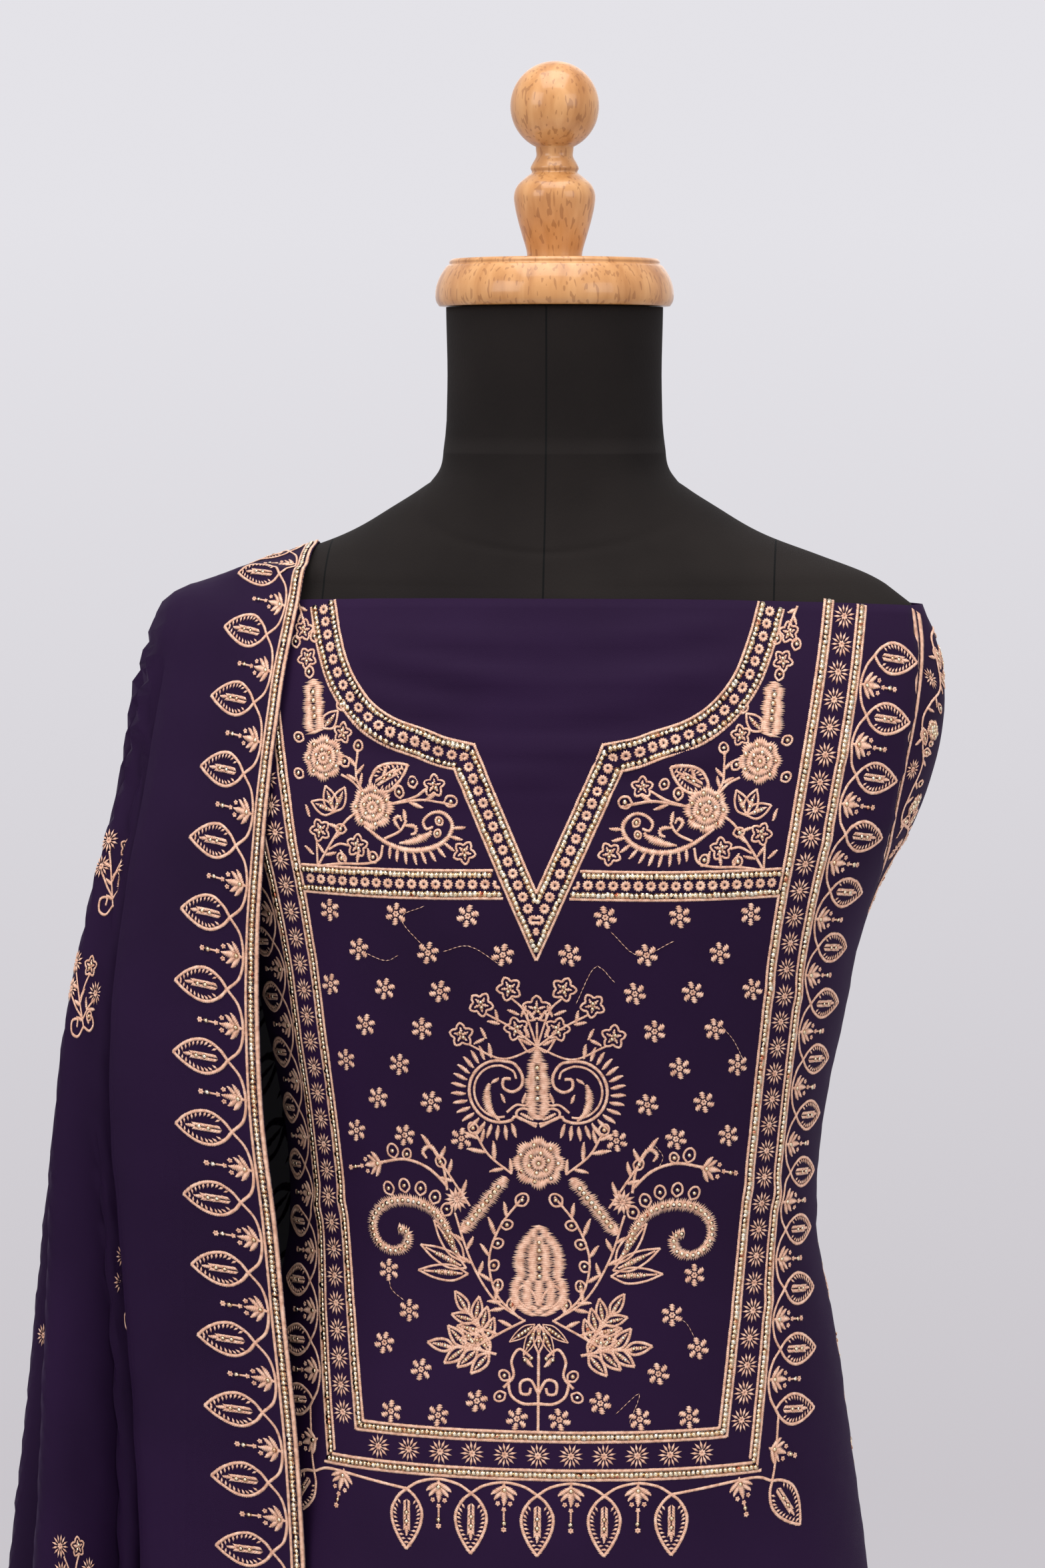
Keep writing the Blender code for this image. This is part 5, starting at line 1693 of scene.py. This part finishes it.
# Salwar
# Plain matt cloth: a gathered waistband, a yoke over the hip, two loose legs gathered under the
# yoke and stiffened cuffs. None of it shows in the photograph.
CUFF_BOTTOM = 0.070
CUFF_TOP = 0.115
SALWAR_CROTCH = 0.755
SALWAR_WAIST = 1.035
WAISTBAND_DEPTH = 0.030
WAISTBAND_GAP = 0.0009
YOKE_GAP = 0.0018
SALWAR_COLUMNS = 96
BAND_ROWS, YOKE_ROWS, LEG_STEPS = 14, 46, 60
LEG_TOP_BLEND = 0.3
SEAM_GAP = 0.0003
STITCH_LINE_HALF = 0.0004
# Share of the way down, x of the left leg's inner and outer side, of the right leg's, half depth
LEG_ROWS = [
    (0.00, -0.0270, 0.1570, -0.0305, -0.1570, 0.1000),
    (0.25, -0.0275, 0.1500, -0.0315, -0.1550, 0.0990),
    (0.55, -0.0270, 0.1420, -0.0330, -0.1600, 0.0920),
    (0.80, -0.0235, 0.1260, -0.0350, -0.1600, 0.0800),
    (1.00, -0.0190, 0.1040, -0.0370, -0.1600, 0.0620),
]


def form_ring(height, gap, columns):
    angles = np.linspace(0, 2 * math.pi, columns, endpoint=False)
    h = max(height, 0.80)
    x, y = section_point(
        angles, form_half(h) + gap, form_front(h) + gap, form_back(h) + gap, form_power(h)
    )
    return np.stack([x, y, np.full(columns, height)], -1)


def even_ring(x, y, columns):
    """A closed outline's points at equal lengths."""
    x, y = np.append(x, x[0]), np.append(y, y[0])
    lengths = lengths_so_far(x, y)
    steps = np.linspace(0, lengths[-1], columns, endpoint=False)
    return np.interp(steps, lengths, x), np.interp(steps, lengths, y)


def leg_ring(side, share, columns):
    """A leg's outline: the yoke's half with a straight inner side on top, an oval below."""
    shares = [row[0] for row in LEG_ROWS]
    inner_column = 1 if side > 0 else 3
    inner, outer, depth = (
        float(np.interp(share, shares, [row[k] for row in LEG_ROWS]))
        for k in (inner_column, inner_column + 1, 5)
    )
    middle, half = (inner + outer) / 2, abs(outer - inner) / 2
    ring = form_ring(SALWAR_CROTCH, YOKE_GAP, 480)
    kept = ring[(ring[:, 0] - LEG_ROWS[0][inner_column]) * side > 0]
    turned = np.arctan2((kept[:, 0] - middle) * side, -kept[:, 1])
    kept = kept[np.argsort(turned)]
    top_x, top_y = even_ring(kept[:, 0], kept[:, 1], columns)
    turns = np.linspace(-math.pi, math.pi, 240, endpoint=False)
    oval_x = middle + side * half * np.sin(turns)
    low_x, low_y = even_ring(oval_x, -depth * np.cos(turns), columns)
    blend = eased(min(share / LEG_TOP_BLEND, 1))
    return top_x + (low_x - top_x) * blend, top_y + (low_y - top_y) * blend


def gathered(points, depth, count, seed):
    """Lets gathers run down a tube: rows of a closed ring, and their depth for each row."""
    closed = np.concatenate([points[:, -1:], points, points[:, :1]], axis=1)
    along = closed[:, 2:] - closed[:, :-2]
    out = np.stack([-along[..., 1], along[..., 0], np.zeros(points.shape[:2])], -1)
    out /= np.linalg.norm(out, axis=-1, keepdims=True)
    middle = points.mean(axis=1, keepdims=True)
    out *= np.sign(((points - middle) * out).sum((1, 2), keepdims=True))
    turns = np.linspace(0, 2 * math.pi, points.shape[1], endpoint=False)
    draw = np.random.default_rng(seed)
    wave = sum(np.sin(n * turns + draw.uniform(0, 6.3)) for n in (count, count + 5, count // 2))
    return points + out * (depth[:, None] * (wave / 3 + 0.6))[..., None]


plain_cloth = dyed_cloth(
    "plain_purple_cloth", (0.0120, 0.0036, 0.0190), (0.0190, 0.0058, 0.0300), Specular_IOR_Level=0.12
)
seam_lines = [
    plain_cloth.line("Z", height, STITCH_LINE_HALF)
    for height in (*(CUFF_BOTTOM + up for up in (0.004, 0.013, 0.022, 0.031)), CUFF_TOP - 0.004)
]
stitch_lines = seam_lines[0]
for seam_line in seam_lines[1:]:
    stitch_lines = plain_cloth.math("MAXIMUM", stitch_lines, seam_line)
salwar_colour = plain_cloth.shader.inputs["Base Color"].links[0].from_socket
plain_cloth.overlay(salwar_colour, stitch_lines, (0.05, 0.018, 0.075))


def salwar_piece(name, node, points, wall):
    piece = new_piece(name, grid_mesh(name, points, round_columns=True), plain_cloth)
    give_wall(piece, wall)
    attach(piece, "root")
    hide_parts(node)


seam_height = SALWAR_WAIST - WAISTBAND_DEPTH
band_heights = np.linspace(SALWAR_WAIST, seam_height, BAND_ROWS)
band_points = np.array([form_ring(h, WAISTBAND_GAP, SALWAR_COLUMNS) for h in band_heights])
band_puff = 0.0012 * np.sin(np.linspace(0, 3 * math.pi, BAND_ROWS)) ** 2
salwar_piece(
    "salwar_waistband_cloth", "salwar_waistband", gathered(band_points, band_puff, 40, 51),
    0.0012,
)
yoke_heights = np.linspace(seam_height - SEAM_GAP, SALWAR_CROTCH + SEAM_GAP, YOKE_ROWS)
yoke_points = np.array([form_ring(h, YOKE_GAP, SALWAR_COLUMNS) for h in yoke_heights])
salwar_piece(
    "salwar_yoke_cloth", "salwar_yoke",
    gathered(yoke_points, 0.0013 * np.exp(-np.linspace(0, 3, YOKE_ROWS)), 30, 52),
    CLOTH_THICKNESS,
)
for side, side_name in ((1, "left"), (-1, "right")):
    shares = np.linspace(0, 1, LEG_STEPS)
    heights = np.linspace(SALWAR_CROTCH, CUFF_TOP + SEAM_GAP, LEG_STEPS)
    rings = [leg_ring(side, float(t), SALWAR_COLUMNS) for t in shares]
    leg_points = np.array([
        np.stack([x, y, np.full(SALWAR_COLUMNS, h)], -1)[::side] for (x, y), h in zip(rings, heights)
    ])
    gathers = 0.0030 * np.sin(math.pi * np.clip(shares * 1.04, 0, 1)) ** 0.7
    salwar_piece(
        f"salwar_{side_name}_leg_cloth", f"salwar_{side_name}_leg",
        gathered(leg_points, gathers, 17, 53 + side), CLOTH_THICKNESS,
    )
    x, y = leg_ring(side, 1.0, SALWAR_COLUMNS)
    cuff_points = np.array([
        np.stack([x, y, np.full(SALWAR_COLUMNS, h)], -1)[::side]
        for h in np.linspace(CUFF_TOP, CUFF_BOTTOM, 10)
    ])
    salwar_piece(
        f"salwar_{side_name}_cuff_cloth", f"salwar_{side_name}_cuff", cuff_points, 0.0018,
    )
